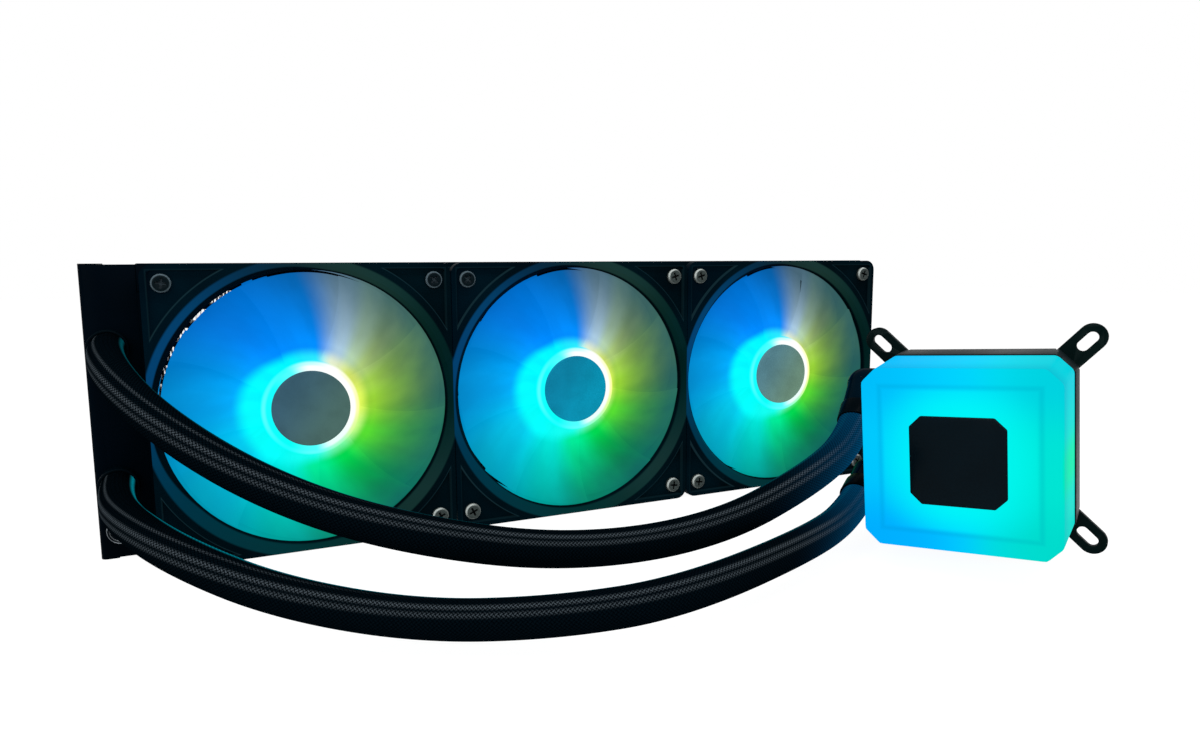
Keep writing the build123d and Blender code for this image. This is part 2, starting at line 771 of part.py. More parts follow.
# Impeller: curved vanes under a disc, on the fixed pin
with BuildPart() as impeller:
    with BuildSketch(pump.offset(impeller_bottom)):
        for number in range(vane_count):
            lead = Vector(impeller_hub_radius - 0.5, 0).rotate(Axis.Z, 360 / vane_count * number)
            trail_angle = 360 / vane_count * (number + vane_turn)
            trail = Vector(impeller_radius - vane_width, 0).rotate(Axis.Z, trail_angle)
            middle = (lead + trail) * (0.5 + vane_bow)
            with BuildLine():
                outer = ThreePointArc(lead, middle, trail)
                offset(outer, amount=vane_width / 2, side=Side.BOTH)
            make_face()
        Circle(impeller_hub_radius)
    extrude(amount=impeller_disc_bottom - impeller_bottom)
    with BuildSketch(pump.offset(impeller_disc_bottom)):
        Circle(impeller_radius)
    extrude(amount=impeller_disc_thickness)
    with BuildSketch(pump.offset(impeller_bottom)):
        Circle(pin_radius + running_clearance)
    extrude(amount=cover_top - impeller_bottom, mode=Mode.SUBTRACT)
finish(impeller.part, "impeller")

with BuildPart() as impeller_magnet:
    with BuildSketch(pump.offset(impeller_disc_bottom + impeller_disc_thickness)):
        Circle(magnet_radius)
        Circle(pin_radius + running_clearance, mode=Mode.SUBTRACT)
    extrude(amount=impeller_magnet_height)
finish(impeller_magnet.part, "impeller_magnet")

with BuildPart() as impeller_pin:
    with BuildSketch(pump.offset(pin_bottom)):
        Circle(pin_radius)
    extrude(amount=pin_top - pin_bottom)
finish(impeller_pin.part, "impeller_pin")

# Stator round the chamber cover's cup
with BuildPart() as pump_stator:
    with BuildSketch(pump.offset(stator_well_bottom + cover_thickness + cover_gap)):
        Circle(pump_stator_radius)
        Circle(pump_stator_radius - pump_stator_yoke, mode=Mode.SUBTRACT)
        with PolarLocations((pump_stator_radius + pump_stator_bore) / 2, pump_pole_count):
            Rectangle(pump_stator_radius - pump_stator_bore - 0.6, pump_pole_width)
        Circle(pump_stator_bore, mode=Mode.SUBTRACT)
    extrude(amount=pump_stator_height)
finish(pump_stator.part, "pump_stator")

# Circuit board on top of the base, with its lights
with BuildPart() as pump_board:
    with BuildSketch(pump.offset(base_top)):
        Polygon(*octagon(base_half, base_cut))
    extrude(amount=board_thickness)
    with BuildSketch(pump.offset(base_top + board_thickness)):
        with PolarLocations(pump_light_ring, pump_light_count):
            Rectangle(pump_light_size, pump_light_size)
    extrude(amount=pump_light_height)
finish(pump_board.part, "pump_board")

# Mounting bracket: a ring round the cold plate with a slotted ear at each corner
ear_start = base_half
ear_end = math.hypot(slot_half_spacing, slot_half_spacing) + slot_travel / 2
with BuildPart() as bracket:
    with BuildSketch(pump.offset(bracket_bottom)):
        Polygon(*octagon(base_half, base_cut))
        with PolarLocations((ear_start + ear_end) / 2, 4, 45):
            SlotCenterToCenter(ear_end - ear_start, ear_width)
        RectangleRounded(bracket_opening, bracket_opening, plate_corner, mode=Mode.SUBTRACT)
        with PolarLocations(math.hypot(slot_half_spacing, slot_half_spacing), 4, 45):
            SlotCenterToCenter(slot_travel, slot_width, mode=Mode.SUBTRACT)
        with Locations(*bracket_screw_places):
            Circle(pump_screw_radius + 0.1, mode=Mode.SUBTRACT)
    extrude(amount=bracket_thickness)
finish(bracket.part, "bracket")

with BuildPart() as bracket_screws:
    with BuildSketch(pump.offset(bracket_bottom)):
        with Locations(*bracket_screw_places):
            Circle(pump_screw_head_radius)
    extrude(amount=-pump_screw_head_height)
    with BuildSketch(pump.offset(bracket_bottom)):
        with Locations(*bracket_screw_places):
            Circle(pump_screw_radius)
    extrude(amount=pump_screw_reach)
finish(bracket_screws.part, "bracket_screws")

# Housing: an eight-sided wall with notches for the ears and holes for the elbows
with BuildPart() as housing:
    with BuildSketch(pump.offset(housing_bottom)):
        Polygon(*octagon(housing_half, housing_cut))
        Polygon(*octagon(housing_inside, housing_cut - housing_wall / 2), mode=Mode.SUBTRACT)
    extrude(amount=housing_top - housing_bottom)
    with BuildSketch(pump.offset(housing_bottom)):
        with PolarLocations(housing_half * 1.3, 4, 45):
            Rectangle(housing_half, ear_width + 0.6)
    extrude(amount=bracket_bottom + bracket_thickness + 0.3 - housing_bottom, mode=Mode.SUBTRACT)
    for port in elbow_places:
        port_plane = Plane(
            origin=pump.from_local_coords(Vector(-housing_half, port.Y, port.Z)), z_dir=pump.x_dir
        )
        with BuildSketch(port_plane):
            Circle(spigot_radius + elbow_hole_gap)
        extrude(amount=housing_wall, mode=Mode.SUBTRACT)
finish(housing.part, "housing")

# Light box under the cap
with BuildPart() as light_box:
    with BuildSketch(pump.offset(housing_top)):
        RectangleRounded(light_box_side, light_box_side, light_box_corner)
    extrude(amount=light_box_top - housing_top)
    with BuildSketch(pump.offset(housing_top)):
        inside = light_box_side - 2 * light_box_wall
        RectangleRounded(inside, inside, light_box_corner - light_box_wall)
    extrude(amount=light_box_top - light_box_wall - housing_top, mode=Mode.SUBTRACT)
finish(light_box.part, "light_box")

# Frosted light cap
with BuildPart() as light_cap:
    with BuildSketch(pump.offset(housing_top)):
        Polygon(*octagon(cap_half, cap_cut))
    extrude(amount=cap_depth, taper=cap_draft)
    fillet(light_cap.faces().sort_by(pump_axis)[-1].edges(), cap_edge)
    with BuildSketch(pump.offset(housing_top)):
        Polygon(*octagon(cap_half - cap_wall, cap_cut - cap_wall / 2))
    extrude(amount=cap_depth - cap_front, taper=cap_draft, mode=Mode.SUBTRACT)
finish(light_cap.part, "light_cap")

# Plain eight-sided plate in the middle of the cap
with BuildPart() as centre_plate:
    with BuildSketch(pump.offset(housing_top + cap_depth)):
        Polygon(*octagon(centre_half, centre_cut))
    extrude(amount=centre_thickness)
    chamfer(centre_plate.faces().sort_by(pump_axis)[-1].edges(), centre_thickness / 3)
finish(centre_plate.part, "centre_plate")

# Elbows, hoses and the collars at their ends
with BuildPart() as tank_collars:
    with BuildSketch(facing(0, radiator_front, 0)):
        with Locations(*port_places):
            Circle(hose_radius + collar_gap + collar_wall)
            Circle(hose_radius + collar_gap, mode=Mode.SUBTRACT)
    extrude(amount=tank_collar_length)
finish(tank_collars.part, "tank_collars")

with BuildPart() as pump_collars:
    for route in hose_routes.values():
        with BuildSketch(hose_end(route)):
            Circle(hose_radius + collar_gap + collar_wall)
            Circle(hose_radius + collar_gap, mode=Mode.SUBTRACT)
        extrude(amount=pump_collar_length)
finish(pump_collars.part, "pump_collars")

for name, route in hose_routes.items():
    end = hose_end(route)
    centre = elbow_centre(route)
    away = -pump.to_local_coords(centre).X - housing_half
    inward = Plane(origin=centre, z_dir=pump.x_dir)
    with BuildPart() as elbow:
        with BuildSketch(end):
            Circle(elbow_outlet_radius)
        extrude(amount=-(end.origin - centre).length)
        with Locations(centre):
            Sphere(elbow_radius)
        with BuildSketch(inward):
            Circle(elbow_radius)
        extrude(amount=away)
        with BuildSketch(inward.offset(away)):
            Circle(elbow_flange_radius)
        extrude(amount=-elbow_flange_thickness)
        with BuildSketch(inward.offset(away)):
            Circle(spigot_radius)
        extrude(amount=housing_half - base_half + spigot_reach)
    finish(elbow.part, f"elbow_{name}")

    radii = bend_radii(route)
    with BuildPart() as hose:
        with BuildLine() as path:
            FilletPolyline(*route, radius=radii)
        with BuildSketch(Plane(origin=path.line @ 0, z_dir=path.line % 0)):
            Circle(hose_radius)
        sweep(path=path.line)
    finish(hose.part, f"hose_{name}")
    length = path.wire().length
    swept = math.pi * hose_radius**2 * length
    print(f"hose_{name} radii", [round(radius, 1) for radius in radii])
    print(f"hose_{name} length {length:.1f}, volume {hose.part.volume:.0f} of {swept:.0f}")
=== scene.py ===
"""Looks of a closed-loop liquid cooler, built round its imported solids.

The radiator stands on its long lower edge with three lit fans on its front. Two braided hoses
leave its left end tank and carry a lit pump head. Everything is in metres, in the frame of the
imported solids: X along the radiator, Y to its back, Z up, and the floor at zero.
"""
import json
import logging
import math
from contextlib import contextmanager
from dataclasses import dataclass, field
from enum import Enum
from functools import reduce
from typing import Callable, Iterator, Optional, Sequence

import bmesh
import bpy
from mathutils import Matrix, Vector

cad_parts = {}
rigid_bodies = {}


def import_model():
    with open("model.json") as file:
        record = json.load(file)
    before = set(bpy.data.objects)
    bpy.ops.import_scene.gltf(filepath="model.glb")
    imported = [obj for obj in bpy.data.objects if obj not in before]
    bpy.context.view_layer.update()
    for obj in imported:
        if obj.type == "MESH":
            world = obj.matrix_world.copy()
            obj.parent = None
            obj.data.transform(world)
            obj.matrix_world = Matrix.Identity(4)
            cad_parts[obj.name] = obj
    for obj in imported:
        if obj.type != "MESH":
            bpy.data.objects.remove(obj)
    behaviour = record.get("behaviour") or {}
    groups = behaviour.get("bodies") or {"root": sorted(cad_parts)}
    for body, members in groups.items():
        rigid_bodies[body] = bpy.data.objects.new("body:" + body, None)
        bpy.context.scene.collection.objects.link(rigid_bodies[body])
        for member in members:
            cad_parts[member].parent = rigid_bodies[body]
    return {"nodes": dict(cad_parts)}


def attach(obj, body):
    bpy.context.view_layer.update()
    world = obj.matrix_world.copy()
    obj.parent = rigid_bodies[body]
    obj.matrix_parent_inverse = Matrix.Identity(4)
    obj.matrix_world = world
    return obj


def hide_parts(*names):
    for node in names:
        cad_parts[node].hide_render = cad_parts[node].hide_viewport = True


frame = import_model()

log = logging.getLogger("liquid_cooler")

Point = tuple[float, float, float]
Colour = tuple[float, float, float]
Stop = tuple[float, Colour]
Socket = bpy.types.NodeSocket
Material = bpy.types.Material
Piece = bpy.types.Object

ROOT = "root"
IMAGE_SIZE = (1200, 750)
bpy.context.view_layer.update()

# What counts as touching, as along an axis, as a face across it, and, in degrees, as a sharp edge
NEAR = 0.00001
ALONG = 0.9
FLAT = 0.99
SHARP = 32.0

UPPER_ROUTE: tuple[Point, ...] = (
    (-0.1934, -0.0135, 0.0866),
    (-0.1934, -0.0547, 0.0866),
    (-0.1773, -0.0915, 0.0698),
    (-0.1469, -0.1187, 0.0498),
    (-0.1089, -0.1381, 0.0349),
    (-0.0508, -0.1412, 0.0195),
    (0.0066, -0.1475, 0.0212),
    (0.0547, -0.1467, 0.0377),
    (0.0798, -0.1364, 0.0479),
    (0.0895, -0.1293, 0.0576),
)
LOWER_ROUTE: tuple[Point, ...] = (
    (-0.1934, -0.0135, 0.0309),
    (-0.1934, -0.0400, 0.0309),
    (-0.1870, -0.0760, 0.0313),
    (-0.1699, -0.1112, 0.0273),
    (-0.1429, -0.1326, 0.0173),
    (-0.1053, -0.1517, 0.0100),
    (-0.0682, -0.1721, 0.0119),
    (-0.0270, -0.1807, 0.0143),
    (0.0426, -0.1580, 0.0152),
    (0.0760, -0.1405, 0.0170),
    (0.0918, -0.1308, 0.0236),
)
PLUG_PLACE: Point = (-0.1939, -0.0140, 0.0119)


def srgb(red: int, green: int, blue: int) -> Colour:
    """Turns a screen colour, 0 to 255, into the linear colour that a material takes."""
    shares = (channel / 255 for channel in (red, green, blue))
    return tuple(s / 12.92 if s <= 0.04045 else ((s + 0.055) / 1.055) ** 2.4 for s in shares)


def facing(x: float, y: float, z: float) -> Matrix:
    """Gives the place of a piece whose own Z points to the front, and its X along the radiator."""
    turn = Matrix(((1, 0, 0), (0, 0, -1), (0, 1, 0))).to_4x4()
    return Matrix.Translation((x, y, z)) @ turn


BLACK: Colour = srgb(0, 0, 0)


class Grain(Enum):
    """How coarse a moulded or painted surface is, in marks per metre."""

    FROST = 3000.0
    FINE = 2600.0
    MEDIUM = 1300.0
    COARSE = 600.0


# Modelling tools


def deselect_all() -> None:
    """Leaves every object unselected, CAD nodes included."""
    for other in bpy.context.view_layer.objects:
        other.select_set(False)


def activate(piece: Piece) -> None:
    """Selects one object alone and makes it the active one.

    Args:
        piece: The object that the next operator works on.
    """
    deselect_all()
    piece.select_set(True)
    bpy.context.view_layer.objects.active = piece


@contextmanager
def editing(piece: Piece) -> Iterator[None]:
    """Opens a piece in edit mode with nothing selected, and leaves that mode at the end.

    Args:
        piece: The mesh object to edit.

    Yields:
        Nothing.
    """
    activate(piece)
    bpy.ops.object.mode_set(mode="EDIT")
    bpy.ops.mesh.select_mode(type="VERT")
    bpy.ops.mesh.select_all(action="DESELECT")
    yield
    bpy.ops.object.mode_set(mode="OBJECT")


def pick_faces(piece: Piece, test: Callable[[Vector, Vector], bool]) -> None:
    """Selects the faces of the piece being edited that pass a test, and no others.

    Args:
        piece: The mesh object in edit mode.
        test: Takes a face's middle and its normal.
    """
    bpy.ops.mesh.select_mode(type="FACE")
    mesh = bmesh.from_edit_mesh(piece.data)
    for face in mesh.faces:
        face.select_set(test(face.calc_center_median(), face.normal))
    bmesh.update_edit_mesh(piece.data)


def pick_edges(piece: Piece, test: Callable[[Vector, Vector], bool]) -> None:
    """Selects the edges of the piece being edited that pass a test, and no others.

    Args:
        piece: The mesh object in edit mode.
        test: Takes an edge's middle and its direction.
    """
    bpy.ops.mesh.select_mode(type="EDGE")
    mesh = bmesh.from_edit_mesh(piece.data)
    for edge in mesh.edges:
        first, last = (vertex.co for vertex in edge.verts)
        edge.select_set(test((first + last) / 2, (last - first).normalized()))
    bmesh.update_edit_mesh(piece.data)


def pick_vertices(piece: Piece, test: Callable[[Vector], bool]) -> None:
    """Selects the vertices of the piece being edited that pass a test, and no others.

    Args:
        piece: The mesh object in edit mode.
        test: Takes a vertex's place.
    """
    bpy.ops.mesh.select_mode(type="VERT")
    mesh = bmesh.from_edit_mesh(piece.data)
    for vertex in mesh.verts:
        vertex.select_set(test(vertex.co))
    mesh.select_flush_mode()
    bmesh.update_edit_mesh(piece.data)


def bevel_edges(piece: Piece, test: Callable[[Vector, Vector], bool], width: float, segments: int) -> None:
    """Rounds the edges that pass a test with so many strips. One strip cuts them off flat."""
    pick_edges(piece, test)
    bpy.ops.mesh.bevel(offset=width, segments=segments, affect="EDGES")


def bevel_uprights(piece: Piece, width: float, segments: int) -> None:
    """Rounds a block's edges along its own Z."""
    with editing(piece):
        bevel_edges(piece, lambda middle, way: abs(way.z) > ALONG, width, segments)


def extrude(way: float) -> None:
    """Draws the picked faces out along Z, or down where the way is less than zero."""
    bpy.ops.mesh.extrude_region_move(TRANSFORM_OT_translate={"value": (0, 0, way)})


def block(name: str, size: Point, centre: Point) -> Piece:
    """Adds a block to be shaped further.

    Args:
        name: The object's name.
        size: Its three sides.
        centre: Where its middle is.

    Returns:
        The new object.
    """
    deselect_all()
    bpy.ops.mesh.primitive_cube_add(size=1, location=centre)
    piece = bpy.context.object
    piece.name = name
    piece.scale = size
    bpy.ops.object.transform_apply(location=True, rotation=True, scale=True)
    return piece


def drum(name: str, radius: float, low: float, high: float, centre: tuple[float, float] = (0, 0),
         sides: int = 64) -> Piece:
    """Adds a round bar that stands along its own Z.

    Args:
        name: The object's name.
        radius: Its radius.
        low: Where it starts along Z.
        high: Where it ends along Z.
        centre: Where its axis is.
        sides: How many flat sides make its round.

    Returns:
        The new object.
    """
    deselect_all()
    place = (centre[0], centre[1], (low + high) / 2)
    bpy.ops.mesh.primitive_cylinder_add(vertices=sides, radius=radius, depth=high - low, location=place)
    piece = bpy.context.object
    piece.name = name
    bpy.ops.object.transform_apply(location=True, rotation=True, scale=True)
    return piece


def cut(piece: Piece, tool: Piece, how: str = "DIFFERENCE") -> None:
    """Cuts a piece with a tool, or joins or trims it, and removes the tool.

    Args:
        piece: The object that is cut.
        tool: The object that cuts it.
        how: DIFFERENCE, UNION or INTERSECT.
    """
    activate(piece)
    modifier = piece.modifiers.new("cut", "BOOLEAN")
    modifier.object = tool
    modifier.operation = how
    modifier.solver = "EXACT"
    bpy.ops.object.modifier_apply(modifier=modifier.name)
    bpy.data.objects.remove(tool)


def apply_modifier(piece: Piece, kind: str, **settings: object) -> None:
    """Adds a modifier with these settings and applies it.

    Args:
        piece: The object to change.
        kind: The modifier's type.
        **settings: Values for the modifier.
    """
    activate(piece)
    modifier = piece.modifiers.new(kind.lower(), kind)
    for key, value in settings.items():
        setattr(modifier, key, value)
    bpy.ops.object.modifier_apply(modifier=modifier.name)


def soften(piece: Piece, width: float, segments: int) -> None:
    """Rounds a piece's sharp edges a little and shades the rest smooth.

    Args:
        piece: The object to finish.
        width: How wide the rounding is.
        segments: How many strips make it.
    """
    apply_modifier(piece, "BEVEL", width=width, segments=segments, limit_method="ANGLE",
                   angle_limit=math.radians(SHARP), harden_normals=False, use_clamp_overlap=True)
    smooth(piece)


def smooth(piece: Piece, angle: float = SHARP) -> None:
    """Shades a piece smooth, except across edges that turn more than an angle in degrees."""
    activate(piece)
    bpy.ops.object.shade_smooth_by_angle(angle=math.radians(angle))


def settle(piece: Piece, place: Matrix) -> Piece:
    """Moves a piece from its own space to its place, and keeps that place in its mesh.

    Args:
        piece: The object to move.
        place: Where its own space lies in the cooler.

    Returns:
        The same object.
    """
    activate(piece)
    piece.matrix_world = place
    bpy.ops.object.transform_apply(location=True, rotation=True, scale=True)
    return piece


def copy_of(piece: Piece, name: str) -> Piece:
    """Copies a piece together with its mesh.

    Args:
        piece: The object to copy.
        name: The copy's name.

    Returns:
        The copy, linked to the scene.
    """
    twin = piece.copy()
    twin.data = piece.data.copy()
    twin.name = name
    bpy.context.scene.collection.objects.link(twin)
    return twin


def join(pieces: Sequence[Piece], name: str) -> Piece:
    """Joins several objects in one, without cutting them.

    Args:
        pieces: The objects, of which the first one stays.
        name: The name of the result.

    Returns:
        The joined object.
    """
    deselect_all()
    for piece in pieces:
        piece.select_set(True)
    bpy.context.view_layer.objects.active = pieces[0]
    bpy.ops.object.join()
    pieces[0].name = name
    return pieces[0]


def dress(piece: Piece, body: str, materials: Sequence[Material],
          replaces: Sequence[str]) -> Piece:
    """Gives a finished piece its materials, puts it on its moving body and hides the solids that it stands
    for.

    Args:
        piece: The object.
        body: The moving body that it rides on.
        materials: Its materials, in the order of its faces' numbers.
        replaces: The solids that it stands for.

    Returns:
        The same object.
    """
    numbers = [face.material_index for face in piece.data.polygons]
    piece.data.materials.clear()
    for material in materials:
        piece.data.materials.append(material)
    for face, number in zip(piece.data.polygons, numbers):
        face.material_index = min(number, len(materials) - 1)
    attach(piece, body)
    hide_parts(*replaces)
    log.info("piece %s rides on %s", piece.name, body)
    return piece


def dress_node(node: str, material: Material) -> None:
    """Gives a solid that stays as it is a better material.

    Args:
        node: The solid's name.
        material: Its new material.
    """
    solid = frame["nodes"][node]
    solid.data.materials.clear()
    solid.data.materials.append(material)
    log.info("solid %s keeps its shape", node)


# Finishes


class Graph:
    """A material's nodes, added one after another and linked as they come."""

    def __init__(self, name: str) -> None:
        """Starts an empty material.

        Args:
            name: The material's name.
        """
        self.material = bpy.data.materials.new(name)
        self.material.use_nodes = True
        self.tree = self.material.node_tree
        self.tree.nodes.clear()
        self.output = self.tree.nodes.new("ShaderNodeOutputMaterial")

    def add(self, kind: str, inputs: Optional[dict] = None, **settings: object) -> bpy.types.Node:
        """Adds a node.

        Args:
            kind: The node's type.
            inputs: Values or sockets for its inputs, by name or number.
            **settings: Values for the node's own settings.

        Returns:
            The node.
        """
        node = self.tree.nodes.new(kind)
        for key, value in settings.items():
            setattr(node, key, value)
        for key, value in (inputs or {}).items():
            if isinstance(value, bpy.types.NodeSocket):
                self.tree.links.new(value, node.inputs[key])
            elif isinstance(value, tuple) and len(value) == 3 and node.inputs[key].type == "RGBA":
                node.inputs[key].default_value = (*value, 1.0)
            else:
                node.inputs[key].default_value = value
        return node

    def maths(self, operation: str, *values: object) -> Socket:
        """Adds a Math node for its numbers or sockets, and gives its result."""
        return self.add("ShaderNodeMath", dict(enumerate(values)), operation=operation).outputs[0]

    def product(self, *values: object) -> Socket:
        """Multiplies numbers or sockets, one after another."""
        return reduce(lambda first, second: self.maths("MULTIPLY", first, second), values)

    def off(self, value: Socket, middle: float) -> Socket:
        """Gives how far a number is from a middle, to either side."""
        return self.maths("ABSOLUTE", self.maths("SUBTRACT", value, middle))

    def distance(self, across: Socket, up: Socket) -> Socket:
        """Gives how far a place is from its centre."""
        return self.maths("SQRT", self.maths("ADD", self.product(across, across), self.product(up, up)))

    def farther(self, across: Socket, up: Socket) -> Socket:
        """Gives the greater of a place's two distances, so that equal ones make a square."""
        return self.maths("MAXIMUM", self.maths("ABSOLUTE", across), self.maths("ABSOLUTE", up))

    def mix(self, share: object, first: object, second: object, blend: str = "MIX") -> Socket:
        """Mixes two colours, with a share of the second one laid on the first."""
        inputs = {0: share, 6: first, 7: second}
        return self.add("ShaderNodeMix", inputs, data_type="RGBA", blend_type=blend).outputs[2]

    def scaled(self, colour: Socket, level: Socket) -> Socket:
        """Makes a colour lighter or darker, by how much of it is left."""
        grey = self.add("ShaderNodeCombineColor", {0: level, 1: level, 2: level}).outputs[0]
        return self.mix(1.0, colour, grey, "MULTIPLY")

    def ramp(self, value: Socket, stops: Sequence[Stop], how: str = "EASE") -> Socket:
        """Turns a number into a colour.

        Args:
            value: The number.
            stops: Places from 0 to 1 with their colours.
            how: The way from one stop to the next.

        Returns:
            The colour.
        """
        node = self.add("ShaderNodeValToRGB", {0: value})
        node.color_ramp.interpolation = how
        elements = node.color_ramp.elements
        while len(elements) < len(stops):
            elements.new(0.5)
        for element, (place, colour) in zip(elements, stops):
            element.position = place
            element.color = (*colour, 1.0)
        return node.outputs[0]

    def span(self, value: Socket, low: object, high: object, first: float = 0.0, last: float = 1.0) -> Socket:
        """Maps the range low to high to the range first to last, softly and with its ends held."""
        inputs = {0: value, 1: low, 2: high, 3: first, 4: last}
        return self.add("ShaderNodeMapRange", inputs, interpolation_type="SMOOTHSTEP").outputs[0]

    def spread(self, pattern: Socket, first: float = 0.0, last: float = 1.0) -> Socket:
        """Maps the usual range of an uneven pattern, 0.3 to 0.7, to the range first to last."""
        return self.span(pattern, 0.3, 0.7, first, last)

    def place(self) -> Socket:
        """Gives the surface's place in the cooler."""
        return self.add("ShaderNodeTexCoord").outputs["Object"]

    def place_from(self, centre: Point, turn: Point = (0.0, 0.0, 0.0)) -> tuple[Socket, Socket, Socket]:
        """Gives the surface's place measured from a centre.

        Args:
            centre: The place that counts as zero.
            turn: How the new axes are turned, as angles about X, Y and Z.

        Returns:
            The three numbers of the place.
        """
        inputs = {"Vector": self.place(), "Location": centre, "Rotation": turn}
        mapping = self.add("ShaderNodeMapping", inputs, vector_type="TEXTURE")
        parts = self.add("ShaderNodeSeparateXYZ", {0: mapping.outputs[0]})
        return parts.outputs[0], parts.outputs[1], parts.outputs[2]

    def stretched(self, vector: Socket, scale: Point) -> Socket:
        """Gives a place with each of its three numbers scaled."""
        return self.add("ShaderNodeMapping", {"Vector": vector, "Scale": scale}).outputs[0]

    def noise(self, scale: float, detail: float = 3.0, vector: Optional[Socket] = None) -> Socket:
        """Adds an uneven pattern, about 0.5, with its scale in marks per metre."""
        inputs = {"Vector": vector or self.place(), "Scale": scale, "Detail": detail}
        return self.add("ShaderNodeTexNoise", inputs).outputs["Fac"]

    def bump(self, height: Socket, depth: float, strength: float) -> Socket:
        """Turns a height, 0 to 1, into a bumpy normal, with the depth of 1 in metres."""
        inputs = {"Height": height, "Distance": depth, "Strength": strength}
        return self.add("ShaderNodeBump", inputs).outputs[0]

    def grain(self, grain: Grain, depth: float, detail: float = 4.0) -> Socket:
        """Gives the normal of a grained surface, with the grain's depth in metres."""
        return self.bump(self.noise(grain.value, detail), depth, 0.5)

    def surface(self, **inputs: object) -> Material:
        """Adds the shader and ends the material.

        Args:
            **inputs: The shader's inputs, with _ for each space in their names.

        Returns:
            The material.
        """
        named = {key.replace("_", " "): value for key, value in inputs.items()}
        shader = self.add("ShaderNodeBsdfPrincipled", named)
        self.tree.links.new(shader.outputs[0], self.output.inputs[0])
        return self.material

    def lit_surface(self, glow: Socket, dark: float, strength: float, **inputs: object) -> Material:
        """Ends the material as plastic that glows, and is darker than its glow by a share."""
        return self.surface(Base_Color=self.mix(dark, glow, BLACK), Emission_Color=glow,
                            Emission_Strength=strength, **inputs)


@dataclass(frozen=True)
class Moulding:
    """Moulded plastic or paint: an even colour, a fine grain and faint handling marks."""

    name: str
    colour: Colour
    roughness: float = 0.5
    gloss: float = 0.3
    grain: Grain = Grain.MEDIUM
    depth: float = 0.00003
    cloud_scale: float = 28.0
    darkest: float = 0.7

    def make(self) -> Material:
        """Builds the material.

        Returns:
            The finished material.
        """
        graph = Graph(self.name)
        clouds = graph.noise(self.cloud_scale, 2.0)
        darker = tuple(channel * self.darkest for channel in self.colour)
        tone = graph.mix(graph.span(clouds, 0.35, 0.65), darker, self.colour)
        rough = graph.spread(clouds, self.roughness - 0.06, self.roughness + 0.08)
        return graph.surface(Base_Color=tone, Roughness=rough, Specular_IOR_Level=self.gloss,
                             Normal=graph.grain(self.grain, self.depth))


@dataclass(frozen=True)
class Metal:
    """Bare or plated metal with fine tool marks along one direction."""

    name: str
    colour: Colour
    roughness: float = 0.3
    marks: Point = (300.0, 300.0, 9000.0)
    depth: float = 0.00001
    cloud_scale: float = 60.0
    dullest: float = 0.72

    def make(self) -> Material:
        """Builds the material.

        Returns:
            The finished material.
        """
        graph = Graph(self.name)
        marks = graph.noise(1.0, 3.0, graph.stretched(graph.place(), self.marks))
        clouds = graph.noise(self.cloud_scale, 3.0)
        dull = tuple(channel * self.dullest for channel in self.colour)
        tone = graph.mix(graph.span(clouds, 0.4, 0.7), self.colour, dull)
        rough = graph.spread(marks, self.roughness - 0.08, self.roughness + 0.1)
        return graph.surface(Base_Color=tone, Metallic=1.0, Roughness=rough,
                             Normal=graph.bump(marks, self.depth, 0.6))


@dataclass(frozen=True)
class FinFoil:
    """Bare foil of the fins, with a painted highlight along each crest and painted shade in the gap beside
    it.
    """

    name: str
    pitch: float = 0.0014
    # Where the crest ends, and its colours: bright is the painted highlight on the crests, dark the painted
    # shade in the gaps
    crest: tuple[float, float] = (0.12, 0.26)
    bright: Colour = srgb(186, 190, 196)
    dark: Colour = srgb(6, 9, 12)

    def make(self) -> Material:
        """Builds the material.

        Returns:
            The finished material.
        """
        graph = Graph(self.name)
        across, _, _ = graph.place_from((0.0, 0.0, 0.0))
        fold = graph.maths("FRACT", graph.maths("DIVIDE", across, self.pitch))
        # Painted highlight on each crest of the folds, painted shade in the gaps between them
        crest = graph.span(graph.off(fold, 0.5), *self.crest, 1.0, 0.0)
        dull = graph.span(graph.noise(180.0, 3.0), 0.35, 0.65, 0.35, 1.0)
        tone = graph.mix(graph.product(crest, dull), self.dark, self.bright)
        return graph.surface(Base_Color=tone, Metallic=0.6, Roughness=0.4, Specular_IOR_Level=0.2,
                             Normal=graph.grain(Grain.FINE, 0.00001))


class ScrewFinish(Enum):
    """How a fan's screw is finished: its body's colour, its rim's painted highlight and its recess's painted
    tone.
    """

    PLATED = (srgb(42, 48, 47), srgb(140, 146, 143), srgb(3, 5, 6))
    BLACKENED = (srgb(2, 9, 13), srgb(58, 70, 76), srgb(36, 46, 52))


